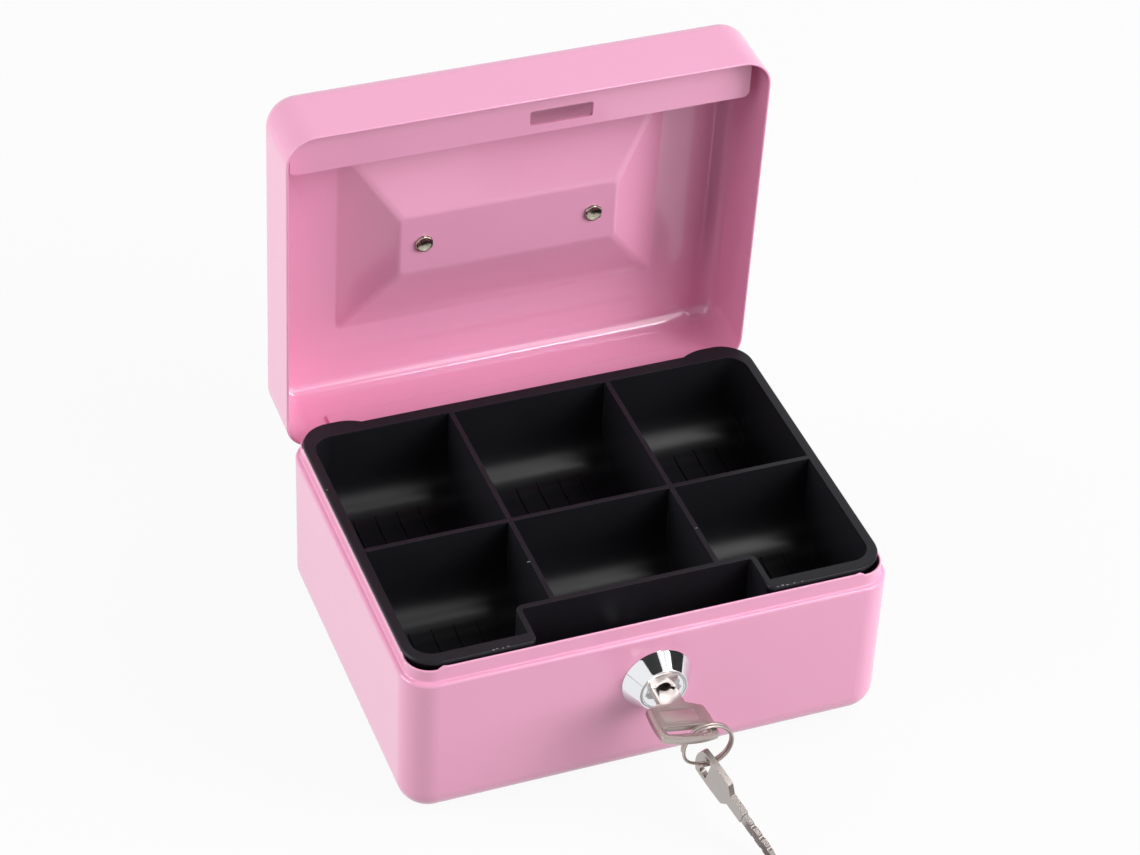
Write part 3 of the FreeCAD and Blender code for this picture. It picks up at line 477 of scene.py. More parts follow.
def finish_of(slot):
    """Material of a slot, or of a finish that only some pieces of a slot have, made when first asked for."""
    make = FINISHES[slot]
    if make not in MADE:
        MADE[make] = make(bpy.context.scene.cash_box_colours)
    return MADE[make]


# Surfaces

def eased(count):
    """Numbers from 0 to 1 that crowd towards both ends."""
    return (1 - np.cos(np.linspace(0, math.pi, count))) / 2


def all_round(count):
    """Angles spread evenly over a full turn."""
    return np.linspace(0, FULL_TURN, count, endpoint=False)


def smooth_step(share):
    """Rise from 0 to 1 that starts and ends level."""
    share = np.clip(share, 0, 1)
    return share * share * (3 - 2 * share)


def between(first, last, share):
    """Value a share of the way from the first to the last."""
    return first + (last - first) * share


def round_axis(centre, radius, along, angle):
    """Points round an axis along Y through a centre: their distance from it, place along it and angle."""
    radius, along, angle = np.broadcast_arrays(radius, along, angle)
    return np.stack([centre[0] + radius * np.cos(angle), along, centre[2] + radius * np.sin(angle)], axis=-1)


def outline_weights(corner_steps=12, side_steps=40):
    """Points round a rounded rectangle: weight along x, weight along y and angle of the corner's arc.

    A point is weight * (half size - radius) + radius * (cos angle, sin angle): along a side one weight
    runs from -1 to 1 at a fixed angle, and round a corner the angle runs through a quarter turn.
    """
    along = 2 * eased(side_steps + 1)[1:-1] - 1
    arc = np.linspace(0, QUARTER, corner_steps + 1)
    first = np.ones(along.size + arc.size)
    second = np.concatenate([along, np.ones(arc.size)])
    angle = np.concatenate([np.zeros(along.size), arc])
    quarters = [(first, second), (-second, first), (-first, -second), (second, -first)]
    return (np.concatenate([pair[0] for pair in quarters]),
            np.concatenate([pair[1] for pair in quarters]),
            np.concatenate([angle + QUARTER * turn for turn in range(4)]))


def outlines(half_width, half_depth, radius, height):
    """Rounded rectangles, one row for each entry of the four arrays, as rows x points x 3."""
    half_width, half_depth, radius, height = np.broadcast_arrays(half_width, half_depth, radius, height)
    along_x, along_y, angle = outline_weights()
    reach = radius[:, None]
    x = (half_width[:, None] - reach) * along_x + reach * np.cos(angle)
    y = (half_depth[:, None] - reach) * along_y + reach * np.sin(angle)
    return np.stack([x, y, np.broadcast_to(height[:, None], x.shape)], axis=-1)


def inset_outlines(shell, inset, height):
    """Outlines of the box, drawn in by an inset at each height."""
    return outlines(shell.half_width - inset, shell.half_depth - inset, shell.corner_radius - inset, height)


def shrinking(row, scales):
    """Copies of one level outline, scaled about the upright axis."""
    factor = np.stack([scales, scales, np.ones_like(scales)], axis=-1)
    return row[None] * factor[:, None, :]


def surface_normals(grid):
    """Unit normals of a grid whose columns go all the way round: cross product of its two slopes."""
    along = np.gradient(grid, axis=0)
    around = np.roll(grid, -1, axis=1) - np.roll(grid, 1, axis=1)
    normal = np.cross(along, around)
    return normal / np.maximum(np.linalg.norm(normal, axis=-1, keepdims=True), 1e-12)


def pressed_sheet(outer, sheet, edge_direction):
    """Sheet under an outer face: that face, its inner copy one sheet further in, and a round edge.

    The first row is the ring round the pole, the last one is the free edge. The inner copy lies one
    sheet along the normal, and the edge is a half circle between the two last rows.
    """
    normal = surface_normals(outer)
    if np.sum(normal * (outer - outer.mean(axis=(0, 1)))) < 0:
        normal = -normal
    inner = outer - sheet * normal
    middle = (outer[-1] + inner[-1]) / 2
    turn = np.linspace(0, math.pi, 8)[1:-1, None, None]
    edge = middle + sheet / 2 * (np.cos(turn) * normal[-1] + np.sin(turn) * np.array(edge_direction))
    return np.concatenate([outer, edge, inner[::-1]])


def round_faces(rows, columns, loop=False):
    """Quads of a grid whose columns go all the way round, and its rows too where it is a loop."""
    row = np.arange(rows if loop else rows - 1)[:, None]
    column = np.arange(columns)[None, :]
    following = (column + 1) % columns
    above = (row + 1) % rows
    corners = [row * columns + column, row * columns + following,
               above * columns + following, above * columns + column]
    return np.stack([np.broadcast_to(corner, (row.size, columns)) for corner in corners], -1).reshape(-1, 4)


def pole_faces(row_start, columns, pole, flipped):
    """Triangles from one row of a grid to a pole."""
    column = np.arange(columns)
    following = (column + 1) % columns
    ends = [following, column] if flipped else [column, following]
    return np.stack([row_start + ends[0], row_start + ends[1], np.full(columns, pole)], axis=-1)


def closed_grid(grid):
    """Points and faces of a grid that ends in a pole at its first and at its last row."""
    rows, columns = grid.shape[:2]
    poles = np.stack([grid[0].mean(axis=0), grid[-1].mean(axis=0)])
    points = np.concatenate([grid.reshape(-1, 3), poles])
    count = rows * columns
    faces = round_faces(rows, columns).tolist()
    faces += pole_faces(0, columns, count, True).tolist()
    faces += pole_faces(count - columns, columns, count + 1, False).tolist()
    return points, faces


def many_grids(grids):
    """Points and faces of many grids with poles, all of one size."""
    parts = [closed_grid(grid) for grid in grids]
    points = np.concatenate([part[0] for part in parts])
    size = len(parts[0][0])
    faces = [[corner + index * size for corner in face]
             for index, part in enumerate(parts) for face in part[1]]
    return points, faces


def ellipsoid(middle, radii, rows=14, columns=24):
    """Ellipsoid given in millimetres: rows from pole to pole and columns round it."""
    pole_gap = 0.05
    down = np.linspace(pole_gap, math.pi - pole_gap, rows)[:, None]
    around = all_round(columns)
    ball = np.stack([np.sin(down) * np.cos(around), np.sin(down) * np.sin(around),
                     np.broadcast_to(np.cos(down), (rows, columns))], axis=-1)
    return (np.array(middle) + np.array(radii) * ball) * MM


def looped_grid(grid):
    """Points and faces of a grid that is closed both ways, as a ring is."""
    return grid.reshape(-1, 3), round_faces(*grid.shape[:2], loop=True).tolist()


def enclosed_volume(points, faces):
    """Signed volume inside a closed surface, from the tetrahedra between its faces and the origin."""
    quads = np.array([face if len(face) == 4 else [*face, face[2]] for face in faces])
    first, second, third, fourth = (points[quads[:, corner]] for corner in range(4))
    return np.sum(np.cross(second, third) * first) + np.sum(np.cross(third, fourth) * first)


def placed(surface, matrix):
    """Surface, given as points and faces, moved by a matrix."""
    points, faces = surface
    turn = np.array(matrix.to_3x3())
    return points @ turn.T + np.array(matrix.translation), faces


def about(place, axis, angle):
    """Turn by an angle about an axis through a place."""
    return Matrix.Translation(place) @ Matrix.Rotation(angle, 4, Vector(axis)) @ Matrix.Translation(
        -Vector(place))


def opened_lid():
    """Swing that takes a piece of the closed lid to where the open lid holds it."""
    hinge = JOINTS["lid_hinge"]
    return about(hinge["pos_m"], hinge["axis"], LID_SWING)


# Pieces

def new_object(name, data):
    """Object that shows some data, in the scene."""
    thing = bpy.data.objects.new(name, data)
    bpy.context.scene.collection.objects.link(thing)
    return thing


def outward_mesh(name, surface):
    """Mesh of a closed surface, with its faces looking outwards."""
    points, faces = surface
    if enclosed_volume(points, faces) < 0:
        faces = [face[::-1] for face in faces]
    mesh = bpy.data.meshes.new(name)
    mesh.from_pydata(points.tolist(), [], faces)
    return mesh


def new_piece(name, surface, body, slot, replaced=(), crease=40.0, finish=None):
    """Closed surface as a piece that rides on a body, smooth up to the crease angle."""
    return finished_piece(name, outward_mesh(name, surface), body, slot, replaced, crease, finish)


def finished_piece(name, mesh, body, slot, replaced, crease, finish):
    """Object for a mesh, with its body, the nodes that it stands for and a finish, mostly its slot's."""
    mesh.materials.clear()
    mesh.materials.append(finish_of(finish or slot))
    mesh.polygons.foreach_set("use_smooth", np.ones(len(mesh.polygons), dtype=bool))
    mesh.set_sharp_from_angle(angle=math.radians(crease))
    piece = new_object(name, mesh)
    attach(piece, body)
    if replaced:
        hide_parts(*replaced)
    return piece


def settle(piece, crease):
    """Turns a piece's modifiers into its mesh."""
    graph = bpy.context.evaluated_depsgraph_get()
    shaped = bpy.data.meshes.new_from_object(piece.evaluated_get(graph))
    piece.modifiers.clear()
    piece.data = shaped
    shaped.set_sharp_from_angle(angle=math.radians(crease))


def cut_away(piece, surface, crease=40.0, finish=None):
    """Cuts a closed surface out of a piece. The cut faces get a finish of their own or the piece's."""
    mesh = outward_mesh("cutter", surface)
    mesh.materials.append(finish or piece.data.materials[0])
    cutter = new_object("cutter", mesh)
    cut = piece.modifiers.new("Cut", "BOOLEAN")
    cut.operation = "DIFFERENCE"
    cut.solver = "EXACT"
    cut.material_mode = "TRANSFER"
    cut.object = cutter
    settle(piece, crease)
    bpy.data.objects.remove(cutter)


def block(low, high):
    """Points and faces of a box between two corners."""
    low, high = np.array(low), np.array(high)
    steps = np.array([[0, 0], [1, 0], [1, 1], [0, 1]])
    levels = [np.column_stack([steps, np.full(4, level)]) for level in (0, 1)]
    faces = [[3, 2, 1, 0], [4, 5, 6, 7]] + [[side, (side + 1) % 4, (side + 1) % 4 + 4, side + 4]
                                            for side in range(4)]
    return between(low, high, np.concatenate(levels)), faces


def rim_edges(work, thickness):
    """Outer edges of a flat rim on top: those above a steep face that is no higher than the rim is thick."""
    slack = 0.01 * MM
    steep = 0.1
    top = max(point.co.z for point in work.verts)
    low = top - thickness - slack
    sides = {face for face in work.faces
             if abs(face.normal.z) < steep and min(point.co.z for point in face.verts) > low}
    return [edge for edge in work.edges if all(point.co.z > top - slack for point in edge.verts)
            and not sides.isdisjoint(edge.link_faces)]


def softened_copy(node, name, body, slot, width, segments=2, rim=0.0, finish=None):
    """Copy of a solid's mesh with its edges rounded off and its flat faces kept flat.

    Where the thickness of a flat rim on top is given, the rim's outer edge is rounded by half of it.
    """
    mesh = frame["nodes"][node].data.copy()
    work = bmesh.new()
    work.from_mesh(mesh)
    bmesh.ops.remove_doubles(work, verts=work.verts, dist=0.001 * MM)
    bmesh.ops.dissolve_limit(work, angle_limit=math.radians(0.5), verts=work.verts, edges=work.edges)
    if rim:
        bmesh.ops.bevel(work, geom=rim_edges(work, rim), offset=rim / 2, segments=4, profile=0.5,
                        affect="EDGES", clamp_overlap=True)
    work.to_mesh(mesh)
    work.free()
    if "custom_normal" in mesh.attributes:
        mesh.attributes.remove(mesh.attributes["custom_normal"])
    piece = finished_piece(name, mesh, body, slot, [node], 30.0, finish)
    rounding = piece.modifiers.new("Rounded edges", "BEVEL")
    rounding.width = width
    rounding.segments = segments
    rounding.limit_method = "ANGLE"
    rounding.angle_limit = math.radians(35)
    flats = piece.modifiers.new("Flat faces", "WEIGHTED_NORMAL")
    flats.keep_sharp = True
    return piece


def plain_node(node, slot):
    """Gives a solid that is shown as it is the finish of its slot."""
    mesh = frame["nodes"][node].data
    mesh.materials.clear()
    mesh.materials.append(finish_of(slot))


# Base and lid

def base_outer_face(shell):
    """Outer face of the base: floor, rounded bottom edge, wall, rounded shoulder and inset neck.

    Rows are rounded rectangles whose inset and height follow that profile. The neck's edge drops
    smoothly at the corners, with a small burr at each end of a drop.
    """
    drop_run = 1.2 * MM
    burr_place = 1.7 * MM
    burr_width = 0.5 * MM
    dent_radius = 13 * MM
    bend = np.linspace(0, QUARTER, 11)
    small_bend = np.linspace(0, QUARTER, 7)
    wall_top = shell.shoulder_height - shell.shoulder_radius
    wall = between(shell.bottom_radius, wall_top, eased(28)[1:-1])
    inset = np.concatenate([
        shell.bottom_radius * (1 - np.sin(bend)),
        np.zeros(wall.size),
        shell.shoulder_radius * (1 - np.cos(small_bend)),
        shell.shoulder_radius + shell.neck_fillet * np.sin(small_bend[1:])])
    height = np.concatenate([
        shell.bottom_radius * (1 - np.cos(bend)),
        wall,
        wall_top + shell.shoulder_radius * np.sin(small_bend),
        shell.shoulder_height + shell.neck_fillet * (1 - np.cos(small_bend[1:]))])
    body = inset_outlines(shell, inset, height)

    along_x, along_y, _ = outline_weights()
    distance = np.maximum((1 - np.abs(along_x)) * (shell.half_width - shell.corner_radius),
                          (1 - np.abs(along_y)) * (shell.half_depth - shell.corner_radius))
    drop = shell.corner_drop * (1 - smooth_step(distance / drop_run))
    burr = shell.burr * np.exp(-((distance - burr_place) / burr_width) ** 2)
    edge_height = shell.neck_top - shell.sheet / 2 - drop + burr
    rise = eased(6)[1:, None]
    neck = np.repeat(body[-1:], rise.size, axis=0)
    neck[..., 2] = between(height[-1], edge_height, rise)

    floor = shrinking(body[0], np.linspace(0.04, 1, 10)[:-1])
    face = np.concatenate([floor, body, neck])
    on_front = face[..., 1] < FRONT_WALL + shell.neck_fillet + shell.shoulder_radius + MM
    apart = np.hypot(face[..., 0] - LOCK_AXIS[0], face[..., 2] - LOCK_AXIS[2])
    face[..., 1] += on_front * shell.lock_dent * np.exp(-(apart / dent_radius) ** 2)
    return face


def base_shell(shell):
    """Drawn base, with the notch for the hinge and the hole for the lock cut out."""
    sheet = pressed_sheet(base_outer_face(shell), shell.sheet, (0, 0, 1))
    piece = new_piece("base_pressing", closed_grid(sheet), "base", "pink_enamel", ["base_shell"])
    notch_low = Vector((-60.5, 54.0, 48.15)) * MM
    notch_high = Vector((60.5, 62.0, 60.0)) * MM
    cut_away(piece, block(notch_low, notch_high))
    hole_radius = 8.1 * MM
    depth = np.array([[FRONT_WALL - MM], [FRONT_WALL + 2 * MM]])
    cut_away(piece, closed_grid(round_axis(LOCK_AXIS, hole_radius, depth, all_round(64))))
    return piece


def soft_ramp(share, ease):
    """Straight ramp from 0 to 1 whose two bends are parabolas of half width ease."""
    start = np.clip(share + ease, 0, 2 * ease) ** 2 / (4 * ease)
    end = np.clip(1 + ease - share, 0, 2 * ease) ** 2 / (4 * ease)
    return np.where(share < ease, start, np.where(share > 1 - ease, 1 - end, share))


def lid_outer_face(shell):
    """Outer face of the closed lid: floor and slopes of the dish, top, rounded edge and walls.

    Rows are rounded rectangles. The dish runs from its floor's outline to its mouth's as a ramp with
    soft bends.
    """
    ease = 0.035
    share = 1 + ease - (1 + 2 * ease) * eased(34)
    floor_half = np.array([shell.dish_floor_width, shell.dish_floor_length]) / 2
    mouth_half = np.array([shell.dish_width, shell.dish_length]) / 2
    half = between(mouth_half, floor_half, share[:, None])
    dish = outlines(half[:, 0], half[:, 1], shell.dish_corner,
                    shell.lid_top - shell.dish_depth * soft_ramp(share, ease))
    floor = shrinking(dish[0], np.linspace(0.05, 1, 8)[:-1])

    top_half = np.array([shell.half_width, shell.half_depth]) - shell.lid_edge_radius
    way = eased(8)[1:-1]
    top = outlines(between(half[-1, 0], top_half[0], way), between(half[-1, 1], top_half[1], way),
                   between(shell.dish_corner, shell.corner_radius - shell.lid_edge_radius, way),
                   shell.lid_top)
    bend = np.linspace(QUARTER, 0, 13)
    inset = shell.lid_edge_radius * (1 - np.cos(bend))
    edge = inset_outlines(shell, inset, shell.lid_top - shell.lid_edge_radius * (1 - np.sin(bend)))
    wall_top = shell.lid_top - shell.lid_edge_radius
    wall_height = between(wall_top, shell.lid_rim + shell.sheet / 2, eased(12)[1:])
    wall = inset_outlines(shell, 0.0, wall_height)
    return np.concatenate([floor, dish, top, edge, wall])


def lid_shell(shell):
    """Pressed lid, swung open."""
    sheet = pressed_sheet(lid_outer_face(shell), shell.sheet, (0, 0, -1))
    surface = placed(closed_grid(sheet), opened_lid())
    return new_piece("lid_pressing", surface, "lid", "pink_enamel", ["lid_shell"])


# Rivets

def rivet_surface(shell, x):
    """Rivet of the closed lid: a profile turned about its axis, from the crimp inside to the head outside.

    The crimp is a shallow cup with a rolled rim, whose radius and height swell and shrink with six petals
    and lean a little to one side.
    """
    bracket = 1.0 * MM
    petals = 6
    petal_draw = 0.06 * MM
    petal_lift = 0.07 * MM
    inside = shell.lid_top - shell.dish_depth - shell.sheet
    outside = inside + shell.sheet + bracket
    cup = np.array([[0.12, 0.10], [0.7, 0.14], [1.3, 0.30], [1.9, 0.58], [2.3, 0.80], [2.55, 0.86],
                    [2.78, 0.78], [2.94, 0.52], [3.0, 0.25], [2.95, 0.0]]) * MM
    shank = np.array([[1.5, 0.0], [1.5, 0.0], [2.45, 0.0]]) * MM
    head = np.array([[2.6, 0.12], [2.5, 0.3], [1.8, 0.42], [0.9, 0.45], [0.15, 0.45]]) * MM
    radius, height = np.concatenate([cup, shank, head]).T
    row = np.arange(radius.size)
    level = np.where(row <= len(cup), inside - height, outside + height)
    petal = np.where(row < len(cup), (radius / radius[len(cup) - 1]) ** 2, 0)[:, None]
    angle = all_round(72)
    wave = np.cos(petals * angle + x / MM) + 0.6 * np.cos(2 * angle - x / MM)
    reach = radius[:, None] - petal_draw * petal * (1 - wave)
    z = level[:, None] - petal_lift * petal * wave
    return np.stack([x + reach * np.cos(angle), reach * np.sin(angle), z], axis=-1)


def rivets(shell):
    """Both rivets of the handle's brackets, as one piece."""
    offset = 27.6 * MM
    surface = placed(many_grids([rivet_surface(shell, x) for x in (-offset, offset)]), opened_lid())
    return new_piece("crimped_rivets", surface, "lid", "plated_steel", ["handle_rivets"], 50.0, "rivets")


# Coin tray

FLASH_PLACES = ((-49.4, -56.0), (-48.3, -55.8), (-46.6, -56.1), (-44.9, -55.9), (38.6, -56.1), (40.2, -55.9),
                (41.6, -56.1), (43.9, -56.0), (46.4, -56.1), (-27.0, -23.2), (25.9, -24.2), (-73.4, 26.4))


def mould_flash():
    """Whitened chips of mould flash on the tray's rim: flat ellipsoids of seeded sizes, in millimetres."""
    chance = np.random.default_rng(7)
    smallest = (0.25, 0.10, 0.08)
    largest = (0.6, 0.22, 0.18)
    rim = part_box("cash_tray")[1].z / MM
    chips = [ellipsoid((x, y, rim), chance.uniform(smallest, largest), 7, 9) for x, y in FLASH_PLACES]
    return new_piece("mould_flash", many_grids(chips), "tray", "black_plastic", finish="flash")


# Lock

def housing_surface(lock):
    """Lock housing: a closed profile turned about the lock's axis.

    The profile runs over the rounded rim and down the cone, back along the body and forward through the
    bore. On the body a screw thread lowers the radius by a cosine of height and angle, and two flats cut
    it off at a fixed distance from the axis.
    """
    front = HOUSING_BOX[0].y
    back = HOUSING_BOX[1].y
    soft = lock.edge_radius
    inner = np.linspace(0, QUARTER, 6)[::-1]
    rim_in = np.column_stack([lock.plug_room + soft * (1 - np.sin(inner)),
                              front + soft * (1 - np.cos(inner))])
    lean = math.atan2(lock.bezel_radius - lock.rim_radius, FRONT_WALL - front)
    outer = np.linspace(0, QUARTER - lean, 6)
    rim_out = np.column_stack([lock.rim_radius - soft + soft * np.sin(outer),
                               front + soft * (1 - np.cos(outer))])
    cone_end = np.array([lock.bezel_radius - 0.06 * MM, FRONT_WALL - 0.15 * MM])
    cone = between(rim_out[-1], cone_end, np.linspace(0, 1, 14)[1:-1, None])
    foot = [cone_end, (lock.bezel_radius, FRONT_WALL - 0.05 * MM), (lock.bezel_radius - 0.1 * MM, FRONT_WALL),
            (lock.body_radius, FRONT_WALL), (lock.body_radius, FRONT_WALL + MM)]
    thread_start = FRONT_WALL + 1.2 * MM
    thread_y = np.arange(thread_start, back - 0.8 * MM, lock.thread_pitch / 8)
    thread = np.column_stack([np.full(thread_y.size, lock.body_radius), thread_y])
    room_end = front + lock.plug_room_depth
    end = [(lock.body_radius, back - 0.5 * MM), (lock.body_radius - 0.4 * MM, back),
           (lock.bore, back), (lock.bore, room_end), (lock.plug_room, room_end)]
    smooth_radius, along = np.concatenate([rim_in, rim_out, cone, foot, thread, end]).T
    angle = all_round(128)
    threaded = (along >= thread_start) & (smooth_radius == lock.body_radius)
    phase = FULL_TURN * along[:, None] / lock.thread_pitch - angle
    radius = smooth_radius[:, None] - threaded[:, None] * lock.thread_depth * (0.5 - 0.5 * np.cos(phase))
    flat = lock.body_flat / np.maximum(np.abs(np.sin(angle)), 1e-6)
    on_body = (along > FRONT_WALL) & (smooth_radius > lock.bore + MM)
    radius = np.where(on_body[:, None], np.minimum(radius, flat), radius)
    return round_axis(LOCK_AXIS, radius, along[:, None], angle)


def lock_housing(lock):
    """Chromed housing with its conical head, its threaded body and the two grooves for the wafers."""
    surface = looped_grid(housing_surface(lock))
    piece = new_piece("lock_casting", surface, "base", "lock_chrome", ["lock_housing"], 35.0)
    front = HOUSING_BOX[0].y - LOCK_AXIS[1]
    half = lock.groove_height / 2
    groove = block((-lock.groove_reach, front + lock.groove_start, -half),
                   (lock.groove_reach, front + lock.groove_end, half))
    for turn in (0.0, QUARTER):
        further = about(LOCK_AXIS, (0, -1, 0), turn)
        cut_away(piece, placed(groove, further @ key_matrix()), 35.0)
    return piece


def keyway_mouth(lock):
    """Arched mouth of the keyway: a half disc over the key's slot, carried straight into the plug."""
    foot = (0, 0, lock.mouth_level)
    depth = np.array([[-0.5 * MM], [5 * MM]])
    grid = round_axis(foot, lock.mouth_radius, depth, np.linspace(0, math.pi, 32))
    return placed(closed_grid(grid), key_matrix())


def lock_plug(lock):
    """Chromed plug with the arched mouth of its keyway."""
    piece = softened_copy("lock_plug", "plug_turned", "plug", "lock_chrome", width=0.2 * MM, segments=3)
    # The keyway's cut faces get a near-black finish, which is painted shade in the recess.
    cut_away(piece, keyway_mouth(lock), 30.0, finish_of("keyway"))
    return piece


# Keys and ring

KEY_TURN = math.radians(-11.0)
SPARE_LEAN = math.radians(106.0)
SPARE_DIP = math.radians(-25.0)
SPARE_HEADING = math.radians(-160.0)
SPARE_SLIP = 4.0 * MM
KEY_EDGE = 0.28 * MM


def key_matrix():
    """Place of a key that lies flat, blade towards +Y, when it is in the plug as the photo shows it."""
    return about(LOCK_AXIS, (0, -1, 0), KEY_TURN) @ Matrix.Translation(LOCK_AXIS)


def spare_matrix(keys):
    """Place of the spare key, which hangs on the ring by its slot and leans on its tip."""
    on_ring = Vector(JOINTS["spare_key_swing"]["pos_m"])
    lean = Matrix.Rotation(SPARE_LEAN, 4, "Y")
    dip = Matrix.Rotation(SPARE_DIP, 4, "X")
    heading = Matrix.Rotation(SPARE_HEADING, 4, "Z")
    slot = Matrix.Translation((SPARE_SLIP, keys.slot_middle, 0))
    return Matrix.Translation(on_ring) @ heading @ dip @ lean @ slot


def key_in_lock():
    """Key with two hollows in its neck at the plug, given as middles and radii in millimetres."""
    piece = softened_copy("key", "key_coined", "key", "key_nickel", KEY_EDGE)
    hollows = (((-0.4, 0.3, 1.5), (1.8, 2.0, 1.1)), ((2.6, 0.3, 1.5), (0.95, 1.7, 1.1)))
    for middle, radii in hollows:
        cut_away(piece, placed(closed_grid(ellipsoid(middle, radii)), key_matrix()), 30.0)
    return piece


def on_hatched_band(keys, x, y):
    """True where a point of the bow's face lies on the band round the plain panel and the ring slot."""
    side_bulge = 0.5 * MM
    end_bulge = 1.5 * MM
    out = -y
    rim, gap = keys.hatch_rim, keys.hatch_gap
    middle = (keys.bow_top + keys.bow_shoulder + keys.bow_end) / 2
    half_length = keys.bow_end - middle
    side = keys.bow_half_width + side_bulge * (1 - ((out - middle) / half_length) ** 2) - rim
    end = keys.bow_end + end_bulge * (1 - (x / keys.bow_half_width) ** 2) - rim
    slope = (keys.bow_half_width - keys.neck_half_width) / keys.bow_shoulder
    shoulder = keys.neck_half_width + slope * (out - keys.bow_top - gap)
    bow = (np.abs(x) < np.minimum(side, shoulder)) & (out < end) & (out > keys.bow_top + gap)
    panel = (np.abs(x) < keys.panel_half_width + gap) & (
        np.abs(out - keys.panel_middle) < keys.panel_half_height + gap)
    slot = (np.abs(x) < keys.slot_half_length + gap) & (
        np.abs(out - keys.slot_middle) < keys.slot_half_width + gap)
    return bow & ~panel & ~slot


def hatching(keys):
    """Ridges of the bow's hatched band: slanting lines at one pitch, cut to the band.

    Every line is sampled along its length, each unbroken run on the band is one ridge, and a ridge is a
    thin ellipse carried from end to end, half sunk in the face and drawn in at both ends.
    """
    shortest = 4
    half_ridge = 0.36 * keys.hatch_pitch
    sampling = 0.1 * MM
    lines = np.arange(-22 * MM, 34 * MM, keys.hatch_pitch)
    steps = np.arange(-34 * MM, 12 * MM, sampling)
    slant = math.sqrt(0.5)
    x = slant * (steps[None, :] + lines[:, None])
    y = slant * (steps[None, :] - lines[:, None])
    inside = on_hatched_band(keys, x, y)
    change = np.diff(inside.astype(int), axis=1, prepend=0, append=0)
    line, start = np.nonzero(change == 1)
    end = np.nonzero(change == -1)[1] - 1
    long_enough = end - start > shortest
    line, start, end = line[long_enough], start[long_enough], end[long_enough]
    first = np.stack([x[line, start], y[line, start]], axis=-1)
    last = np.stack([x[line, end], y[line, end]], axis=-1)
    share = np.array([0.0, 0.15, 0.85, 1.0])
    swell = np.array([0.15, 1.0, 1.0, 0.15])
    turn = all_round(8)
    across = half_ridge * np.cos(turn)
    up = keys.hatch_height * np.sin(turn)
    spine = between(first[:, None, :], last[:, None, :], share[:, None])
    side = np.array([slant, -slant])
    flat = spine[:, :, None, :] + (swell[:, None] * across)[None, :, :, None] * side
    height = np.broadcast_to(keys.sheet / 2 + swell[:, None] * up, flat.shape[:3])
    return np.concatenate([flat, height[..., None]], axis=-1)


def key_hatching(keys, name, matrix, body, finish=None):
    """Hatched band on one face of a key."""
    return new_piece(name, placed(many_grids(hatching(keys)), matrix), body, "key_nickel", finish=finish)


def ring_surface(keys):
    """Split ring: a round wire carried along two turns that step over from one level to the other."""
    climb = math.radians(60.0)
    step = math.radians(190.0)
    samples = 300
    tip_samples = 5
    thinnest = 0.02
    turn = np.linspace(step + climb - FULL_TURN, step + FULL_TURN, samples)
    level = smooth_step((turn - step) / climb) - 0.5
    centre = np.mean(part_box("key_ring"), axis=0)
    sample = np.arange(samples)
    ends = np.minimum(np.minimum(sample, sample[::-1]) / tip_samples, 1)
    swell = np.sqrt(1 - (1 - np.clip(ends, thinnest, 1)) ** 2)
    around = all_round(16)
    radial = keys.ring_radius + keys.ring_wire * swell[:, None] * np.cos(around)
    along = centre[1] + level[:, None] * keys.ring_pitch + keys.ring_wire * swell[:, None] * np.sin(around)
    return round_axis(centre, radial, along, turn[:, None])


def key_ring(keys):
    """Split ring of two turns."""
    return new_piece("split_ring", closed_grid(ring_surface(keys)), "ring", "key_nickel", ["key_ring"])


# Studio

def lamp(name, place, target, size, power, lit=True, mirrored=True):
    """Large lamp that faces a point, out of the picture: it lights things, is mirrored in them, or both."""
    light = bpy.data.lights.new(name, "AREA")
    light.shape = "RECTANGLE"
    light.size, light.size_y = size
    light.energy = power
    holder = new_object(name, light)
    holder.location = place
    holder.rotation_euler = (Vector(target) - Vector(place)).to_track_quat("-Z", "Y").to_euler()
    holder.visible_camera = False
    holder.visible_diffuse = lit
    holder.visible_glossy = mirrored


def camera(studio):
    """Camera at the photo's viewing angle."""
    azimuth, elevation = studio.camera_azimuth, studio.camera_elevation
    back = Vector((-math.sin(azimuth) * math.cos(elevation), -math.cos(azimuth) * math.cos(elevation),
                   math.sin(elevation)))
    view = bpy.data.cameras.new("camera")
    view.lens = studio.lens
    holder = new_object("camera", view)
    level = (-back).to_track_quat("-Z", "Y").to_matrix().to_4x4()
    holder.matrix_world = (Matrix.Translation(studio.camera_place) @ level
                           @ Matrix.Rotation(studio.camera_roll, 4, "Z"))
    bpy.context.scene.camera = holder


def white_world(studio):
    """White surroundings: full white to the eye and in mirrors, a softer light on everything else."""
    world = bpy.data.worlds.new("studio")
    bpy.context.scene.world = world
    tree = Nodes(world)
    strength = studio.ambient + (1 - studio.ambient) * tree.seen()
    tree.feed(tree.nodes["Background"], {"Color": (1, 1, 1, 1), "Strength": strength})


def stage_sheet(name, size, matrix, grey):
    """Flat matt sheet that belongs to the studio, and its finish."""
    wide, high = size[0] / 2, size[1] / 2
    mesh = bpy.data.meshes.new(name)
    corners = [(-wide, -high, 0), (wide, -high, 0), (wide, high, 0), (-wide, high, 0)]
    mesh.from_pydata(corners, [], [(0, 1, 2, 3)])
    mesh.transform(matrix)
    finish = Finish(name)
    finish.shade(Base_Color=(grey, grey, grey, 1), Specular_IOR_Level=0.0)
    mesh.materials.append(finish.material)
    sheet = new_object(name, mesh)
    return sheet, finish


def card(name, place, target, size, grey=0.055):
    """Card that only mirrors see: dark cards draw the bands of bright metal."""
    facing = (Vector(target) - Vector(place)).to_track_quat("Z", "Y").to_matrix().to_4x4()
    sheet, _ = stage_sheet(name, size, Matrix.Translation(place) @ facing, grey)
    sheet.visible_camera = False
    sheet.visible_diffuse = False
    sheet.visible_shadow = False
    sheet.visible_transmission = False


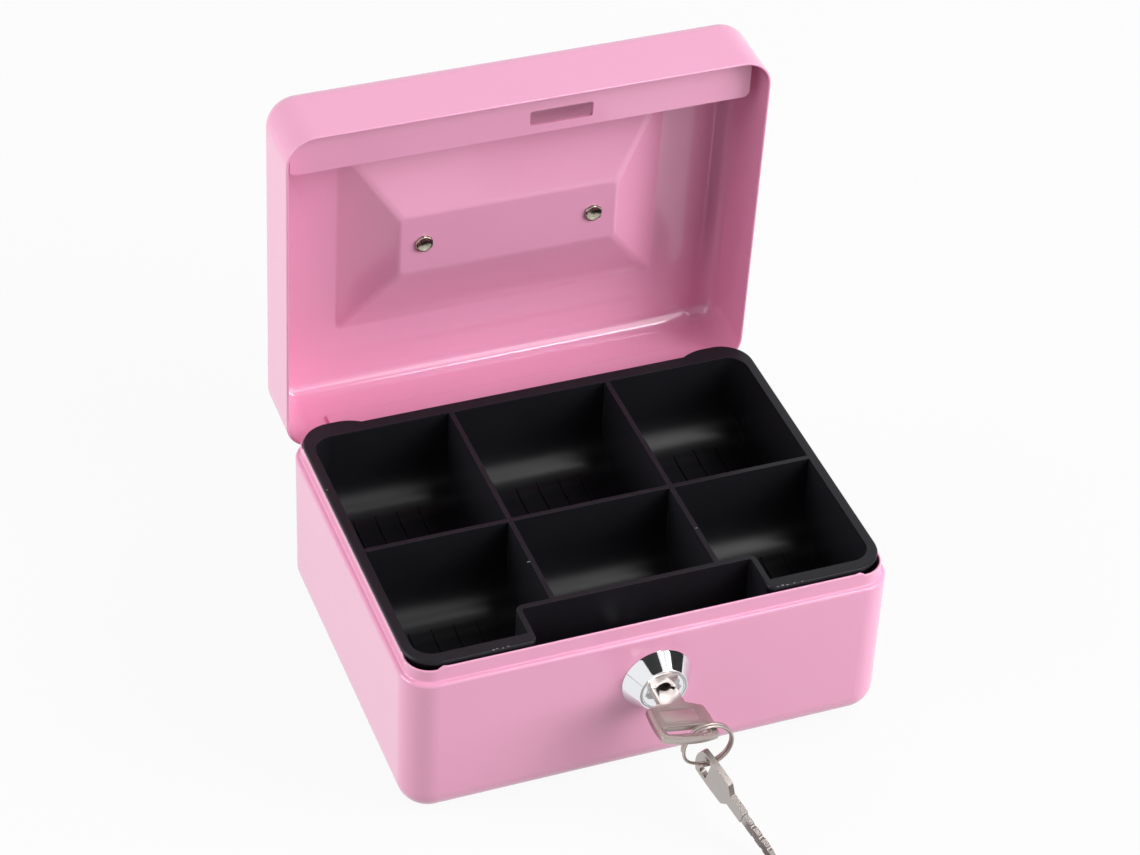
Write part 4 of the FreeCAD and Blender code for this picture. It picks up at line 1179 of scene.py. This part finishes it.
def white_floor(studio):
    """White table that keeps a faint shadow of the object."""
    size = (6.0, 6.0)
    just_under = Matrix.Translation((0, 0, -0.1 * MM))
    _, table = stage_sheet("floor", size, just_under, studio.floor_grey)
    table.shade(Roughness=0.9)
    matt = Value(table, table.shader.outputs[0])
    glow = table.node("ShaderNodeEmission", None, {"Strength": studio.floor_glow})
    share = studio.floor_share * table.seen()
    blend = table.node("ShaderNodeMixShader", None, {0: share, 1: matt, 2: glow})
    table.feed(table.nodes["Material Output"], {"Surface": blend})


# Operators

class CASHBOX_OT_base(bpy.types.Operator):
    """Presses the base and dresses its half of the hinge"""

    bl_idname = "cashbox.base"
    bl_label = "Base"

    def execute(self, context):
        base_shell(context.scene.cash_box_shell)
        softened_copy("hinge_base_leaf", "base_leaf_rolled", "base", "pink_enamel", width=0.22 * MM)
        plain_node("hinge_pin", "hinge_steel")
        return {"FINISHED"}


class CASHBOX_OT_lid(bpy.types.Operator):
    """Presses the lid with its dish and dresses its half of the hinge and the striker plate"""

    bl_idname = "cashbox.lid"
    bl_label = "Lid"

    def execute(self, context):
        lid_shell(context.scene.cash_box_shell)
        softened_copy("hinge_lid_leaf", "lid_leaf_rolled", "lid", "pink_enamel", width=0.22 * MM)
        softened_copy("lid_striker_plate", "striker_plate_bent", "lid", "pink_enamel",
                      width=0.45 * MM, segments=4)
        return {"FINISHED"}


class CASHBOX_OT_handle(bpy.types.Operator):
    """Dresses the carry handle with its brackets and crimps the rivets"""

    bl_idname = "cashbox.handle"
    bl_label = "Carry handle"

    def execute(self, context):
        rivets(context.scene.cash_box_shell)
        for side in ("left", "right"):
            softened_copy("handle_bracket_" + side, "bracket_bent_" + side, "lid", "plated_steel",
                          width=0.2 * MM)
        plain_node("carry_handle", "plated_steel")
        return {"FINISHED"}


class CASHBOX_OT_tray(bpy.types.Operator):
    """Moulds the coin tray"""

    bl_idname = "cashbox.tray"
    bl_label = "Coin tray"

    def execute(self, context):
        softened_copy("cash_tray", "tray_moulding", "tray", "black_plastic", width=0.12 * MM, rim=1.2 * MM)
        mould_flash()
        return {"FINISHED"}


class CASHBOX_OT_lock(bpy.types.Operator):
    """Casts the lock and dresses its plug, wafers, cam and nut"""

    bl_idname = "cashbox.lock"
    bl_label = "Cam lock"

    def execute(self, context):
        lock_housing(context.scene.cash_box_lock)
        lock_plug(context.scene.cash_box_lock)
        softened_copy("lock_cam", "cam_stamped", "plug", "zinc_steel", width=0.2 * MM)
        softened_copy("lock_nut", "nut_chamfered", "base", "zinc_steel", width=0.35 * MM)
        softened_copy("cam_screw", "screw_turned", "plug", "zinc_steel", width=0.15 * MM)
        for node in ("lock_washer", "cam_washer", "wafer_springs"):
            plain_node(node, "zinc_steel")
        for node in ("left_wafers", "right_wafers"):
            plain_node(node, "wafer_brass")
        return {"FINISHED"}


class CASHBOX_OT_keys(bpy.types.Operator):
    """Coins the two keys with their hatched bows"""

    bl_idname = "cashbox.keys"
    bl_label = "Keys"

    def execute(self, context):
        keys = context.scene.cash_box_keys
        key_in_lock()
        key_hatching(keys, "key_hatching", key_matrix(), "key")
        far_side = Matrix.Rotation(math.pi, 4, "Y")
        # The spare key gets the darker copy of the nickel, which is painted shade.
        softened_copy("spare_key", "spare_key_coined", "spare_key", "key_nickel", KEY_EDGE, finish="spare")
        key_hatching(keys, "spare_key_hatching", spare_matrix(keys) @ far_side, "spare_key", "spare")
        return {"FINISHED"}


class CASHBOX_OT_ring(bpy.types.Operator):
    """Winds the split ring"""

    bl_idname = "cashbox.ring"
    bl_label = "Split ring"

    def execute(self, context):
        key_ring(context.scene.cash_box_keys)
        return {"FINISHED"}


class CASHBOX_OT_stage(bpy.types.Operator):
    """Sets up the camera, the lamps and the white table"""

    bl_idname = "cashbox.stage"
    bl_label = "Studio"

    def execute(self, context):
        studio = context.scene.cash_box_studio
        camera(studio)
        white_world(studio)
        white_floor(studio)
        middle = (0, 0, 0.06)
        lamp("front_light", (0.85, -1.03, 0.92), middle, (1.2, 1.0), studio.front_power)
        lamp("side_light", (-1.30, 0.20, 0.55), middle, (1.0, 0.8), studio.side_power)
        lamp("strip_light", (0.45, -0.52, 1.02), middle, (0.10, 0.75), studio.strip_power, lit=False)
        lamp("fill_light", (1.26, -0.74, 0.66), middle, (1.0, 1.0), studio.fill_power, mirrored=False)
        lamp("back_light", (1.06, 0.39, 1.18), middle, (1.0, 1.0), studio.back_power, mirrored=False)
        card("top_card", (-0.25, -0.52, 1.10), middle, (0.95, 0.55))
        card("ceiling_card", (0.34, 0.02, 1.10), middle, (0.70, 0.60))
        card("right_card", (1.15, -0.15, 0.50), middle, (0.55, 1.0))
        card("table_edge", (-0.60, -0.20, 0.012), middle, (1.2, 0.012))
        card("neck_card", (0.127, -0.245, 0.152), LOCK_AXIS, (0.090, 0.090), 0.22)
        card("shade_under_keys", (0.0172, -0.105, 0.0003), (0.0172, -0.105, 1), (0.026, 0.024), 0.45)
        context.scene.view_settings.view_transform = "Standard"
        return {"FINISHED"}


OPERATORS = (CASHBOX_OT_base, CASHBOX_OT_lid, CASHBOX_OT_handle, CASHBOX_OT_tray, CASHBOX_OT_lock,
             CASHBOX_OT_keys, CASHBOX_OT_ring, CASHBOX_OT_stage)


class CASHBOX_PT_panel(bpy.types.Panel):
    """Lists the pieces of the cash box"""

    bl_idname = "CASHBOX_PT_panel"
    bl_label = "Cash Box"
    bl_space_type = "VIEW_3D"
    bl_region_type = "UI"
    bl_category = "Cash Box"

    def draw(self, context):
        for operator in OPERATORS:
            self.layout.operator(operator.bl_idname)


GROUPS = {
    "cash_box_shell": CashBoxShell,
    "cash_box_lock": CashBoxLock,
    "cash_box_keys": CashBoxKeys,
    "cash_box_colours": CashBoxColours,
    "cash_box_studio": CashBoxStudio,
}
CLASSES = (*GROUPS.values(), *OPERATORS, CASHBOX_PT_panel)


def register():
    """Registers the classes and hangs the properties on the scene."""
    for cls in CLASSES:
        bpy.utils.register_class(cls)
    for name, group in GROUPS.items():
        setattr(bpy.types.Scene, name, bpy.props.PointerProperty(type=group))


def unregister():
    """Takes the properties and classes away again."""
    for name in GROUPS:
        delattr(bpy.types.Scene, name)
    for cls in reversed(CLASSES):
        bpy.utils.unregister_class(cls)


def main():
    """Builds everything."""
    register()
    for operator in OPERATORS:
        category, name = operator.bl_idname.split(".")
        getattr(getattr(bpy.ops, category), name)()


if __name__ == "__main__":
    main()
